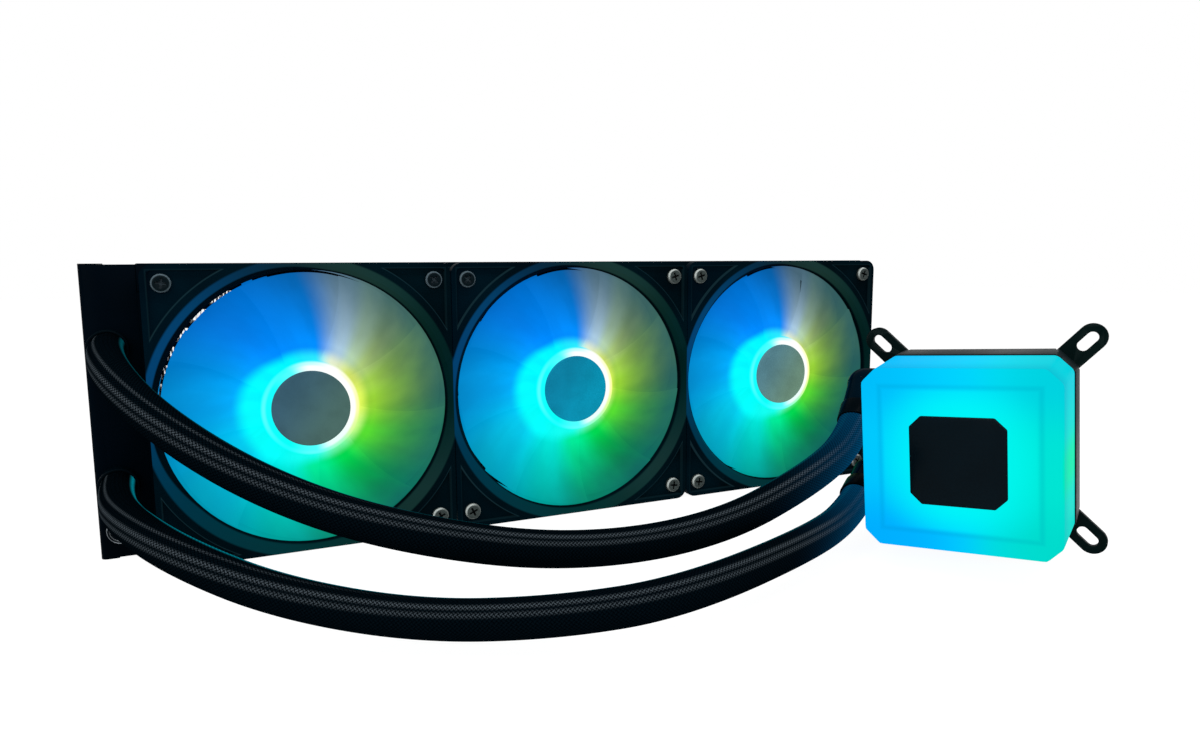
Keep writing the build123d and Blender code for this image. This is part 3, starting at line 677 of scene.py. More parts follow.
@dataclass(frozen=True)
class ScrewHead:
    """Head of a fan's screw: its body, a painted highlight on its thin rim, and a painted tone in its recess.
    """

    name: str
    finish: ScrewFinish
    fan: Point
    corner: float
    radius: float
    top: float
    glint: float = 0.0
    rim_highlight_width: tuple[float, float] = (0.0008, 0.0003)
    rim_highlight_depth: tuple[float, float] = (0.0014, 0.0009)
    recess_width: tuple[float, float] = (0.0020, 0.0022)
    recess_depth: tuple[float, float] = (0.0006, 0.0002)

    def make(self) -> Material:
        """Builds the material. A fan's four corners share it, so it folds them into one.

        Returns:
            The finished material.
        """
        graph = Graph(self.name)
        body, rim, recess = self.finish.value
        beside, back, above = graph.place_from(self.fan)
        level = graph.product(back, -1.0)
        across = graph.maths("SUBTRACT", graph.maths("ABSOLUTE", beside), self.corner)
        up = graph.maths("SUBTRACT", graph.maths("ABSOLUTE", above), self.corner)
        radius = graph.distance(across, up)
        rightward = graph.product(across, graph.maths("SIGN", beside))
        upward = graph.product(up, graph.maths("SIGN", above))
        lean = graph.maths("DIVIDE", graph.maths("SUBTRACT", upward, rightward), radius)
        # Painted highlight on the rim, strongest on the upper left by the glint's share
        lit = graph.span(lean, 0.2, 1.2, 1.0 - self.glint, 1.0)
        edge = graph.product(graph.span(radius, *(self.radius - width for width in self.rim_highlight_width)),
                             graph.span(level, *(self.top - depth for depth in self.rim_highlight_depth)))
        tone = graph.mix(graph.product(edge, lit), body, rim)
        # Painted tone in the crossed recess: painted shade on plated screws, painted light on blackened ones
        sunk = graph.span(level, *(self.top - depth for depth in self.recess_depth), 1.0, 0.0)
        inside = graph.span(radius, *self.recess_width, 1.0, 0.0)
        tone = graph.mix(graph.product(sunk, inside), tone, recess)
        return graph.surface(Base_Color=tone, Roughness=0.4, Specular_IOR_Level=0.02,
                             Normal=graph.grain(Grain.FINE, 0.00002))


@dataclass(frozen=True)
class Ringed:
    """Black paint with thin bright rings at the plug's rim and at the groove's two edges, broken up unevenly.
    """

    name: str
    centre: Point
    rings: tuple[float, ...]
    width: float = 0.00022
    paint: Colour = srgb(4, 8, 12)
    ring_colour: Colour = srgb(150, 158, 164)

    def make(self) -> Material:
        """Builds the material.

        Returns:
            The finished material.
        """
        graph = Graph(self.name)
        across, _, up = graph.place_from(self.centre)
        radius = graph.distance(across, up)
        # Thin bright rings at the plug's rim and the groove's edges, broken up unevenly by a pattern
        share, *others = [graph.span(graph.off(radius, ring), 0.0, self.width, 1.0, 0.0)
                          for ring in self.rings]
        for other in others:
            share = graph.maths("MAXIMUM", share, other)
        ring_breakup = graph.span(graph.noise(260.0, 3.0), 0.35, 0.6, 0.35, 1.0)
        share = graph.product(share, ring_breakup)
        tone = graph.mix(share, self.paint, self.ring_colour)
        return graph.surface(Base_Color=tone, Metallic=graph.product(share, 0.5), Roughness=0.4,
                             Specular_IOR_Level=0.01, Normal=graph.grain(Grain.FINE, 0.00002))


class FanLight:
    """Where the colours of a fan's lights fall: round its axis, and outwards from its hub."""

    swirl = math.radians(15)
    cyan_side = math.radians(196)
    hub = 0.020
    rim = 0.056
    middle_depth = 0.016
    cyan_span = (0.15, 0.95)
    spread_start = (0.020, 0.024)
    spread_end = (0.0254, 0.0308)
    fade_start = 0.027
    least_fade = 0.6
    wave_height = (0.12, 0.34)
    veil = srgb(34, 122, 150)
    veil_share = 0.34

    by_hub: tuple[Stop, ...] = (
        (0.00, srgb(226, 248, 92)),
        (0.10, srgb(210, 226, 104)),
        (0.17, srgb(226, 236, 204)),
        (0.225, srgb(40, 228, 254)),
        (0.31, srgb(3, 240, 255)),
        (0.62, srgb(2, 254, 252)),
        (0.75, srgb(20, 248, 232)),
        (0.84, srgb(120, 250, 172)),
        (0.92, srgb(206, 252, 140)),
        (1.00, srgb(226, 248, 92)),
    )
    halfway: tuple[Stop, ...] = (
        (0.00, srgb(150, 208, 56)),
        (0.045, srgb(158, 204, 76)),
        (0.09, srgb(172, 202, 122)),
        (0.125, srgb(173, 203, 170)),
        (0.16, srgb(168, 200, 222)),
        (0.222, srgb(0, 138, 248)),
        (0.33, srgb(0, 138, 253)),
        (0.46, srgb(0, 172, 253)),
        (0.58, srgb(2, 206, 242)),
        (0.68, srgb(0, 228, 214)),
        (0.75, srgb(0, 230, 150)),
        (0.83, srgb(0, 214, 80)),
        (0.91, srgb(84, 214, 48)),
        (1.00, srgb(150, 208, 56)),
    )

    def __init__(self, graph: Graph, centre: Point, slant: tuple[float, float] = (0.0, 0.0),
                 fade: float = 1.0) -> None:
        """Works out the place round and out from a fan's axis.

        Args:
            graph: The material's nodes.
            centre: The fan's middle, at its back.
            slant: How far the light drifts across and up for each metre of depth.
            fade: How much faster the light falls off on the right.
        """
        self.graph = graph
        self.fade = fade
        across, back, up = graph.place_from(centre)
        self.depth = graph.product(back, -1.0)
        deeper = graph.maths("SUBTRACT", self.depth, self.middle_depth)
        across = graph.maths("ADD", across, graph.product(deeper, slant[0]))
        up = graph.maths("ADD", up, graph.product(deeper, slant[1]))
        self.radius = graph.distance(across, up)
        out = graph.maths("SUBTRACT", self.radius, self.hub)
        twist = graph.product(out, self.swirl / (self.rim - self.hub))
        self.angle = graph.maths("SUBTRACT", graph.maths("ARCTAN2", up, across), twist)
        self.turn = graph.maths("FRACT", graph.maths("ADD", graph.maths("DIVIDE", self.angle, math.tau), 1.0))
        self.right = graph.maths("DIVIDE", across, self.radius)

    def streaks(self) -> Socket:
        """Gives faint curved streaks.

        Returns:
            The streaks, 0 to 1.
        """
        graph = self.graph
        inputs = {0: graph.maths("COSINE", self.angle), 1: graph.maths("SINE", self.angle),
                  2: graph.product(self.radius, 14.0)}
        around = graph.add("ShaderNodeCombineXYZ", inputs).outputs[0]
        return graph.spread(graph.noise(3.2, 3.0, around))

    def glow(self) -> Socket:
        """Gives the light in the blades: strong by the hub, weaker and duller out to the rim.

        Returns:
            The light's colour.
        """
        graph = self.graph
        aside = graph.maths("COSINE", graph.maths("SUBTRACT", self.angle, self.cyan_side))
        start = graph.span(aside, *self.cyan_span, *self.spread_start)
        end = graph.span(aside, *self.cyan_span, *self.spread_end)
        colour = graph.mix(graph.span(self.radius, start, end), graph.ramp(self.turn, self.by_hub),
                           graph.ramp(self.turn, self.halfway))
        side = graph.span(self.right, -0.5, 0.8)
        share = graph.add("ShaderNodeMapRange", {0: self.radius, 1: self.fade_start, 2: self.rim}).outputs[0]
        rate = graph.maths("ADD", self.least_fade, graph.product(side, self.fade))
        level = graph.maths("EXPONENT", graph.product(share, rate, -1.0))
        least, more = self.wave_height
        height = graph.maths("ADD", least, graph.product(side, share, more))
        waves = graph.product(graph.maths("SUBTRACT", self.streaks(), 0.5), height)
        lit = graph.scaled(colour, graph.product(level, graph.maths("ADD", 1.0, waves)))
        return graph.mix(graph.product(share, side, self.veil_share), lit, self.veil)


@dataclass(frozen=True)
class FrostedBlade:
    """Frosted plastic of a fan's blades, lit from the hub in colours that change round it."""

    name: str
    centre: Point
    slant: tuple[float, float]
    fade: float

    def make(self) -> Material:
        """Builds the material.

        Returns:
            The finished material.
        """
        graph = Graph(self.name)
        glow = FanLight(graph, self.centre, self.slant, self.fade).glow()
        return graph.lit_surface(glow, 0.96, 0.99, Roughness=0.55, Specular_IOR_Level=0.01,
                                 Normal=graph.grain(Grain.FROST, 0.00002, 2.0))


@dataclass(frozen=True)
class HubRing:
    """The bright ring on a fan's hub, white and yellowish on the right and cyan on the left."""

    name: str
    centre: Point
    groove: tuple[float, float] = (0.0174, 0.0186)
    edge: tuple[float, float] = (0.0188, 0.0200)

    inner: tuple[Stop, ...] = (
        (0.00, srgb(253, 254, 248)),
        (0.25, srgb(248, 255, 255)),
        (0.33, srgb(76, 253, 254)),
        (0.42, srgb(22, 252, 253)),
        (0.66, srgb(8, 250, 244)),
        (0.76, srgb(78, 252, 252)),
        (0.83, srgb(230, 254, 248)),
        (1.00, srgb(253, 254, 248)),
    )
    outer: tuple[Stop, ...] = (
        (0.00, srgb(252, 254, 168)),
        (0.10, srgb(252, 254, 206)),
        (0.17, srgb(254, 254, 252)),
        (0.25, srgb(190, 254, 252)),
        (0.34, srgb(60, 254, 254)),
        (0.50, srgb(84, 255, 255)),
        (0.66, srgb(32, 254, 254)),
        (0.76, srgb(92, 252, 248)),
        (0.85, srgb(170, 253, 200)),
        (0.92, srgb(220, 252, 160)),
        (1.00, srgb(252, 254, 168)),
    )

    def make(self) -> Material:
        """Builds the material.

        Returns:
            The finished material.
        """
        graph = Graph(self.name)
        light = FanLight(graph, self.centre)
        inner, outer, by_hub = (graph.ramp(light.turn, stops)
                                for stops in (self.inner, self.outer, light.by_hub))
        ring = graph.mix(graph.span(light.radius, *self.groove), inner, outer)
        ring = graph.mix(graph.span(light.radius, *self.edge), ring, by_hub)
        return graph.lit_surface(ring, 0.96, 1.0, Roughness=0.5, Specular_IOR_Level=0.01,
                                 Normal=graph.grain(Grain.FROST, 0.00002, 2.0))


@dataclass(frozen=True)
class HubCap:
    """The satin cap on a fan's hub, which glows with painted light from the lights round it, tinted towards
    its upper left edge.
    """

    name: str
    centre: Point
    colour: Colour
    tint: Colour
    radius: float = 0.0157
    levels: tuple[float, float] = (0.70, 0.84)

    def make(self) -> Material:
        """Builds the material.

        Returns:
            The finished material.
        """
        graph = Graph(self.name)
        across, _, up = graph.place_from(self.centre)
        # Painted light: the cap glows in its colour, turning to the tint towards its upper left
        lean = graph.span(graph.maths("SUBTRACT", across, graph.product(up, 0.6)), -self.radius, self.radius)
        tone = graph.scaled(graph.mix(lean, self.tint, self.colour),
                            graph.spread(graph.noise(90.0, 3.0), *self.levels))
        return graph.lit_surface(tone, 0.7, 0.68, Roughness=0.42, Specular_IOR_Level=0.015,
                                 Normal=graph.grain(Grain.FINE, 0.00002))


@dataclass(frozen=True)
class FrameMoulding:
    """Black moulded frame that the fan's lights tint: blue on the left, green on the right."""

    name: str
    centre: Point
    slant: tuple[float, float]
    fade: float
    duct: float = 0.0572
    flare: float = 0.0593
    flare_start: float = 0.0216
    lit_wall: tuple[float, float] = (0.0197, 0.0205)
    dark_side: float = math.radians(135)
    ring: float = 0.0622
    arc: float = 0.0654
    rim: float = 0.0576
    line: tuple[float, float] = (0.0001, 0.0004)
    line_tint: Colour = srgb(22, 42, 48)
    blacks: tuple[Colour, Colour] = (srgb(0, 5, 9), srgb(0, 10, 16))

    tints: tuple[Stop, ...] = (
        (0.00, srgb(1, 24, 20)),
        (0.08, srgb(9, 38, 32)),
        (0.16, srgb(32, 58, 50)),
        (0.24, srgb(2, 14, 28)),
        (0.33, srgb(4, 64, 108)),
        (0.43, srgb(3, 62, 112)),
        (0.50, srgb(0, 50, 74)),
        (0.58, srgb(0, 48, 60)),
        (0.67, srgb(4, 48, 49)),
        (0.75, srgb(3, 38, 31)),
        (0.83, srgb(26, 52, 48)),
        (0.92, srgb(1, 28, 24)),
        (1.00, srgb(1, 24, 20)),
    )

    def make(self) -> Material:
        """Builds the material.

        Returns:
            The finished material.
        """
        graph = Graph(self.name)
        light = FanLight(graph, self.centre, self.slant, self.fade)
        face = FanLight(graph, self.centre)
        near, far = self.line
        glow = graph.mix(self.lit_ring(graph, face, light.depth), BLACK,
                         graph.ramp(face.turn, self.tints, "B_SPLINE"))
        glow = graph.mix(graph.product(self.rim_lines(graph, face), 0.8), glow, self.line_tint)
        wall = graph.product(graph.span(face.radius, self.duct + near, self.duct + far, 1.0, 0.0),
                             graph.span(light.depth, *self.lit_wall, 1.0, 0.0))
        glow = graph.mix(wall, glow, light.glow())
        clouds = graph.noise(35.0, 2.0)
        return graph.surface(Base_Color=graph.mix(graph.spread(clouds), *self.blacks),
                             Roughness=graph.spread(clouds, 0.34, 0.46), Specular_IOR_Level=0.004,
                             Emission_Color=glow, Emission_Strength=0.95,
                             Normal=graph.grain(Grain.FINE, 0.00002))

    def lit_ring(self, graph: Graph, face: FanLight, depth: Socket) -> Socket:
        """Works out how strong the tint is on the ring round the duct.

        Args:
            graph: The material's nodes.
            face: The place round the fan's axis.
            depth: How far in front of the fan's back.

        Returns:
            1 in the ring and 0 elsewhere.
        """
        aside = graph.maths("COSINE", graph.maths("SUBTRACT", face.angle, self.dark_side))
        low = graph.span(aside, 0.3, 0.8, self.duct + 0.0002, self.flare - 0.0002)
        start = graph.span(graph.maths("SUBTRACT", face.radius, low), 0.0, 0.0007)
        end = graph.span(face.radius, self.ring - 0.0004, self.ring + 0.0006, 1.0, 0.02)
        front = graph.span(depth, self.flare_start - 0.0006, self.flare_start + 0.0006)
        return graph.product(start, end, front)

    def rim_lines(self, graph: Graph, face: FanLight) -> Socket:
        """Works out where the thin raised edges of the corner pockets catch the light.

        Args:
            graph: The material's nodes.
            face: The place round the fan's axis.

        Returns:
            1 on such an edge and 0 elsewhere.
        """
        across, _, up = graph.place_from(self.centre)
        wide = graph.farther(across, up)
        arc = graph.span(graph.off(face.radius, self.arc), *self.line, 1.0, 0.0)
        rim = graph.span(graph.off(wide, self.rim), *self.line, 0.35, 0.0)
        inside = graph.span(wide, self.rim, self.rim + 0.0003, 1.0, 0.0)
        outside = graph.span(face.radius, self.arc - 0.0003, self.arc, 0.0, 1.0)
        return graph.maths("MAXIMUM", graph.product(arc, inside), graph.product(rim, outside))


@dataclass(frozen=True)
class LitCap:
    """Frosted cap over a bank of lights: cyan, bluer to one side and greener to the other."""

    name: str
    centre: Point
    turn: Point
    half: float = 0.0353
    front: float = 0.054
    box_half: float = 0.0276
    core: Colour = srgb(0, 250, 250)
    halos: tuple[Colour, Colour] = (srgb(0, 216, 254), srgb(0, 240, 208))
    spot: Colour = srgb(0, 240, 150)
    shade: Colour = srgb(0, 120, 170)
    faint: float = 0.16

    low_stops: tuple[Stop, ...] = (
        (0.0, srgb(0, 172, 252)),
        (0.30, srgb(0, 180, 255)),
        (0.55, srgb(0, 202, 252)),
        (0.75, srgb(0, 220, 220)),
        (1.0, srgb(0, 216, 198)),
    )
    high_stops: tuple[Stop, ...] = (
        (0.0, srgb(0, 186, 248)),
        (0.30, srgb(0, 202, 254)),
        (0.60, srgb(0, 212, 250)),
        (0.80, srgb(0, 216, 236)),
        (1.0, srgb(0, 206, 218)),
    )

    def make(self) -> Material:
        """Builds the material.

        Returns:
            The finished material.
        """
        graph = Graph(self.name)
        across, up, out = graph.place_from(self.centre, self.turn)
        wide = graph.farther(across, up)
        side = graph.span(across, -self.half, self.half)
        height = graph.span(up, -self.half * 0.8, self.half * 0.8)
        tone = graph.mix(height, graph.ramp(side, self.low_stops, "B_SPLINE"),
                         graph.ramp(side, self.high_stops, "B_SPLINE"))
        core = graph.product(graph.span(wide, self.box_half - 0.0022, self.box_half + 0.0004, 1.0, 0.0),
                             graph.span(graph.distance(across, up), 0.014, 0.037, 0.95, 0.0))
        tone = graph.mix(core, tone, self.core)
        halo = graph.span(graph.maths("ABSOLUTE", up), 0.006, 0.030, 0.45, 0.0)
        tone = graph.mix(halo, tone, graph.mix(side, *self.halos))
        spot = graph.product(graph.span(across, 0.0335, 0.035),
                             graph.span(graph.off(up, -0.002), 0.002, 0.014, 0.6, 0.0))
        tone = graph.mix(spot, tone, self.spot)
        tone = graph.mix(self.edges(graph, wide, out), tone, self.shade)
        return graph.lit_surface(tone, 0.98, 0.99, Roughness=0.42, Specular_IOR_Level=0.002,
                                 Normal=graph.bump(graph.noise(2500.0), 0.00001, 0.4))

    def edges(self, graph: Graph, wide: Socket, out: Socket) -> Socket:
        """Works out where the cap is darker: its rim, its side walls and the box's outline.

        Args:
            graph: The material's nodes.
            wide: How far from the cap's middle, as in a square.
            out: How far in front of its back.

        Returns:
            How much of the shade shows.
        """
        seam = graph.span(graph.off(wide, self.box_half), 0.0, 0.0016, 1.0, 0.0)
        flat = graph.span(out, self.front - 0.002, self.front - 0.0008)
        rim = graph.span(graph.off(out, self.front - 0.0015), 0.0, 0.0014, self.faint, 0.0)
        forward = graph.span(out, self.front - 0.016, self.front - 0.002, 0.0, self.faint)
        walls = graph.product(forward, graph.maths("SUBTRACT", 1.0, flat))
        line = graph.product(seam, graph.product(flat, self.faint))
        return graph.maths("ADD", graph.maths("MAXIMUM", line, rim), walls)


@dataclass(frozen=True)
class Sheen:
    """A soft band of light along a hose, with its measures in turns round the hose."""

    middle: float
    width: float
    level: float

    def band(self, graph: Graph, turn: Socket) -> Socket:
        """Gives the band's strength at a place so far round the hose."""
        return graph.span(graph.off(turn, self.middle), 0.0, self.width, self.level, 0.0)


@dataclass(frozen=True)
class NylonBraid:
    """Black nylon sleeve: strands over and under each other on the slant, a little glossy."""

    name: str
    strands: float = 30.0
    turns: float = 720.0
    depth: float = 0.0003
    fibres: Point = (9000.0, 900.0, 1.0)
    tones: tuple[Colour, Colour] = (srgb(0, 1, 3), srgb(2, 7, 11))
    sheens: tuple[Sheen, Sheen] = (Sheen(0.092, 0.034, 1.0), Sheen(0.156, 0.034, 0.7))
    start_sheen: Sheen = Sheen(0.0, 0.022, 0.8)
    sheen_colour: Colour = srgb(72, 80, 86)
    sheen_shift: float = 0.10
    fan_edge: Sheen = Sheen(-0.062, 0.048, 1.0)
    fan_colour: Colour = srgb(0, 142, 160)
    edge_shift: float = -0.10
    pump_colour: Colour = srgb(2, 84, 130)
    pump_place: Point = (0.095, -0.14, 0.04)
    pump_reach: float = 0.085

    def make(self) -> Material:
        """Builds the material. The hose's own map has metres along it and turns round it.

        Returns:
            The finished material.
        """
        graph = Graph(self.name)
        coordinates = graph.add("ShaderNodeTexCoord").outputs["UV"]
        metres, turn, _ = graph.add("ShaderNodeSeparateXYZ", {0: coordinates}).outputs
        height = self.weave(graph, metres, turn)
        fibres = graph.noise(1.0, 2.0, graph.stretched(coordinates, self.fibres))
        relief = graph.maths("ADD", height, graph.product(fibres, 0.25))
        return graph.surface(Base_Color=graph.mix(graph.span(height, 0.1, 0.9), *self.tones),
                             Roughness=graph.spread(fibres, 0.30, 0.44), Specular_IOR_Level=0.0,
                             Emission_Color=self.glow(graph, metres, turn, height), Emission_Strength=1.0,
                             Normal=graph.bump(relief, self.depth, 1.0))

    def weave(self, graph: Graph, metres: Socket, turn: Socket) -> Socket:
        """Works out the relief of two rows of strands that go over and under each other.

        Args:
            graph: The material's nodes.
            metres: How far along the hose.
            turn: How far round it.

        Returns:
            The relief, 0 between the strands and 1 on their crests.
        """
        along = graph.product(metres, self.turns)
        around = graph.product(turn, self.strands)
        right = graph.maths("ADD", along, around)
        left = graph.maths("SUBTRACT", along, around)
        whole = graph.maths("ADD", graph.maths("FLOOR", right), graph.maths("FLOOR", left))
        over = graph.maths("GREATER_THAN", graph.maths("FRACT", graph.product(whole, 0.5)), 0.25)
        crest_right, crest_left = (graph.maths("SINE", graph.product(graph.maths("FRACT", way), math.pi))
                                   for way in (right, left))
        return graph.maths("ADD", graph.product(over, crest_right),
                           graph.product(graph.maths("SUBTRACT", 1.0, over), crest_left))

    def glow(self, graph: Graph, metres: Socket, turn: Socket, height: Socket) -> Socket:
        """Works out the light that the strands catch: the room's sheens, the fans' and the pump head's.

        Args:
            graph: The material's nodes.
            metres: How far along the hose.
            turn: How far round it, from its upper side.
            height: The strands' relief.

        Returns:
            The colour.
        """
        strand = graph.span(height, 0.55, 1.0)
        weave = graph.maths("ADD", 0.4, graph.product(strand, 0.6))
        across, _, up = graph.place_from(self.pump_place)
        reach = graph.span(across, -self.pump_reach, 0.0)
        reach = graph.product(reach, reach)
        moved = graph.maths("SUBTRACT", turn, graph.span(metres, 0.02, 0.20, self.sheen_shift, 0.0))
        sheen = graph.maths("MAXIMUM", *(row.band(graph, moved) for row in self.sheens))
        start = graph.product(self.start_sheen.band(graph, moved), graph.span(metres, 0.06, 0.20, 1.0, 0.0))
        sheen = graph.product(graph.maths("MAXIMUM", sheen, start), graph.span(reach, 0.0, 0.7, 1.0, 0.25))
        glow = graph.mix(graph.product(sheen, strand), BLACK, self.sheen_colour)
        moved = graph.maths("SUBTRACT", turn, graph.span(metres, 0.04, 0.12, self.edge_shift, 0.0))
        edge = graph.product(self.fan_edge.band(graph, moved), weave,
                             graph.span(metres, 0.12, 0.26, 1.0, 0.3),
                             graph.span(up, 0.004, 0.024, 0.9, 0.3),
                             graph.span(reach, 0.0, 0.6, 1.0, 0.3))
        glow = graph.mix(edge, glow, self.fan_colour, "ADD")
        share = graph.product(reach, graph.span(turn, 0.05, 0.45, 0.6, 1.2), weave)
        return graph.mix(share, glow, self.pump_colour, "ADD")


class Finishes:
    """Every material that several of the cooler's pieces share, made once."""

    def __init__(self) -> None:
        """Makes all of them."""
        self.black_paint = Moulding("black_paint", srgb(0, 4, 9), 0.40, 0.005, Grain.MEDIUM).make()
        self.core_metal = Metal("core_metal", srgb(12, 16, 20), 0.45).make()
        self.foil = FinFoil("foil").make()
        self.plug_paint = Ringed("plug_paint", PLUG_PLACE, (0.0052, 0.0043, 0.0031)).make()
        self.rubber = Moulding("rubber", srgb(14, 14, 15), 0.75, 0.15, Grain.COARSE).make()
        self.screw_plate = Metal("screw_plate", srgb(168, 172, 170), 0.34).make()
        self.ground_steel = Metal("ground_steel", srgb(190, 192, 194), 0.2).make()
        self.brass = Metal("brass", srgb(196, 160, 92), 0.3).make()
        self.magnet = Moulding("magnet", srgb(48, 48, 50), 0.6, 0.3, Grain.COARSE).make()
        self.coils = Metal("coils", srgb(150, 104, 70), 0.4, (300.0, 6000.0, 300.0)).make()
        self.board = Moulding("board", srgb(16, 74, 40), 0.35, 0.5, Grain.COARSE).make()
        self.copper = Metal("copper", srgb(208, 134, 98), 0.28, (300.0, 9000.0, 300.0)).make()
        self.housing = Moulding("housing", srgb(10, 18, 20), 0.44, 0.03, Grain.MEDIUM).make()
        self.pump_plastic = Moulding("pump_plastic", srgb(40, 42, 44), 0.5, 0.3, Grain.MEDIUM).make()
        self.milky = Moulding("milky", srgb(205, 232, 232), 0.5, 0.3, Grain.FINE).make()
        self.plate = Moulding("plate", srgb(0, 8, 14), 0.24, 0.04, Grain.FINE, 0.000005).make()
        self.bracket = Moulding("bracket", srgb(2, 12, 12), 0.4, 0.02, Grain.FINE).make()
        # The elbows' glossy black plastic; its navy tint is painted light from the lit pump cap
        self.gloss = Moulding("gloss", srgb(0, 14, 24), 0.16, 0.008, Grain.FINE, 0.000004).make()
        self.braid = NylonBraid("braid").make()
        self.sleeve = Moulding("sleeve", srgb(0, 5, 9), 0.36, 0.01, Grain.COARSE).make()


# Camera, floor and light


@dataclass(frozen=True)
class PhotoCamera:
    """The camera where the photograph was taken."""

    place: Point = (-0.16169, -0.40309, 0.12007)
    yaw: float = math.radians(25.42)
    pitch: float = math.radians(-7.6)
    roll: float = math.radians(0.24)
    focal_pixels: float = 852.4
    sensor: float = 36.0
    clip: tuple[float, float] = (0.01, 20.0)

    def build(self) -> None:
        """Adds the camera and makes it the scene's own."""
        ahead = Vector((math.sin(self.yaw) * math.cos(self.pitch),
                        math.cos(self.yaw) * math.cos(self.pitch), math.sin(self.pitch)))
        level = Vector((math.cos(self.yaw), -math.sin(self.yaw), 0.0))
        down = ahead.cross(level)
        right = level * math.cos(self.roll) + down * math.sin(self.roll)
        upward = level * math.sin(self.roll) - down * math.cos(self.roll)
        data = bpy.data.cameras.new("photo_camera")
        data.sensor_width = self.sensor
        data.lens = self.focal_pixels / IMAGE_SIZE[0] * self.sensor
        data.clip_start, data.clip_end = self.clip
        camera = bpy.data.objects.new("photo_camera", data)
        bpy.context.scene.collection.objects.link(camera)
        turn = Matrix((right, upward, -ahead)).transposed().to_4x4()
        camera.matrix_world = Matrix.Translation(self.place) @ turn
        bpy.context.scene.camera = camera
        log.info("camera at %s, lens %.2f", self.place, data.lens)


@dataclass(frozen=True)
class Lamp:
    """A soft studio lamp."""

    name: str
    place: Point
    aim: Point
    size: tuple[float, float]
    power: float

    def build(self) -> None:
        """Adds the lamp, looking at its aim."""
        data = bpy.data.lights.new(self.name, "AREA")
        data.shape = "RECTANGLE"
        data.size, data.size_y = self.size
        data.energy = self.power
        lamp = bpy.data.objects.new(self.name, data)
        bpy.context.scene.collection.objects.link(lamp)
        lamp.location = self.place
        lamp.rotation_euler = (Vector(self.aim) - Vector(self.place)).to_track_quat("-Z", "Y").to_euler()


@dataclass(frozen=True)
class Studio:
    """A white room: a floor that keeps a soft shadow, an even sky and two long lamps."""

    floor_side: float = 6.0
    floor_drop: float = 0.0002
    sky: float = 0.62
    shadow_share: float = 0.12
    floor_shine: float = 1.07
    floor_whites: tuple[Colour, Colour] = ((0.86, 0.86, 0.86), (0.9, 0.9, 0.9))
    lamps: tuple[Lamp, ...] = (
        Lamp("top_lamp", (-0.05, -0.36, 0.80), (-0.02, -0.13, 0.02), (1.6, 0.05), 9.0),
        Lamp("low_lamp", (-0.30, -0.85, 0.42), (0.0, -0.13, 0.03), (1.4, 0.06), 7.0),
    )

    def build(self) -> None:
        """Adds the floor, the sky and the lamps."""
        bpy.context.scene.view_settings.view_transform = "Standard"
        self.build_sky()
        self.build_floor()
        for lamp in self.lamps:
            lamp.build()
        log.info("studio with %d lamps", len(self.lamps))

    def build_sky(self) -> None:
        """Makes the world white to look at and softer as a light."""
        world = bpy.data.worlds.new("white_room")
        bpy.context.scene.world = world
        world.use_nodes = True
        nodes, links = world.node_tree.nodes, world.node_tree.links
        nodes.clear()
        seen = self.seen_rays(nodes, links, nodes.new("ShaderNodeLightPath"))
        level = nodes.new("ShaderNodeMapRange")
        links.new(seen, level.inputs[0])
        level.inputs[3].default_value = self.sky
        level.inputs[4].default_value = 1.0
        sky = nodes.new("ShaderNodeBackground")
        sky.inputs[0].default_value = (1.0, 1.0, 1.0, 1.0)
        links.new(level.outputs[0], sky.inputs[1])
        output = nodes.new("ShaderNodeOutputWorld")
        links.new(sky.outputs[0], output.inputs[0])

    @staticmethod
    def seen_rays(nodes: bpy.types.Nodes, links: bpy.types.NodeLinks, path: bpy.types.Node) -> Socket:
        """Picks the rays that look at the background: straight, mirrored and through glass.

        Args:
            nodes: The tree's nodes.
            links: The tree's links.
            path: The Light Path node.

        Returns:
            1 for such a ray and 0 for the others.
        """
        seen = path.outputs["Is Camera Ray"]
        for kind in ("Is Glossy Ray", "Is Transmission Ray"):
            either = nodes.new("ShaderNodeMath")
            either.operation = "MAXIMUM"
            links.new(seen, either.inputs[0])
            links.new(path.outputs[kind], either.inputs[1])
            seen = either.outputs[0]
        return seen

    def build_floor(self) -> None:
        """Adds the floor, which looks white and keeps part of the shadow on it."""
        deselect_all()
        bpy.ops.mesh.primitive_plane_add(size=self.floor_side, location=(0.0, 0.0, -self.floor_drop))
        floor = bpy.context.object
        floor.name = "studio_floor"
        graph = Graph("studio_floor")
        nodes, links = graph.tree.nodes, graph.tree.links
        white = graph.mix(graph.spread(graph.noise(40.0)), *self.floor_whites)
        dull = graph.add("ShaderNodeBsdfDiffuse", {0: white})
        shine = graph.add("ShaderNodeEmission", {0: (1.0, 1.0, 1.0), 1: self.floor_shine})
        seen = self.seen_rays(nodes, links, graph.add("ShaderNodeLightPath"))
        share = graph.product(seen, 1.0 - self.shadow_share)
        mixed = graph.add("ShaderNodeMixShader", {0: share, 1: dull.outputs[0], 2: shine.outputs[0]})
        links.new(mixed.outputs[0], graph.output.inputs[0])
        floor.data.materials.append(graph.material)


# Hoses


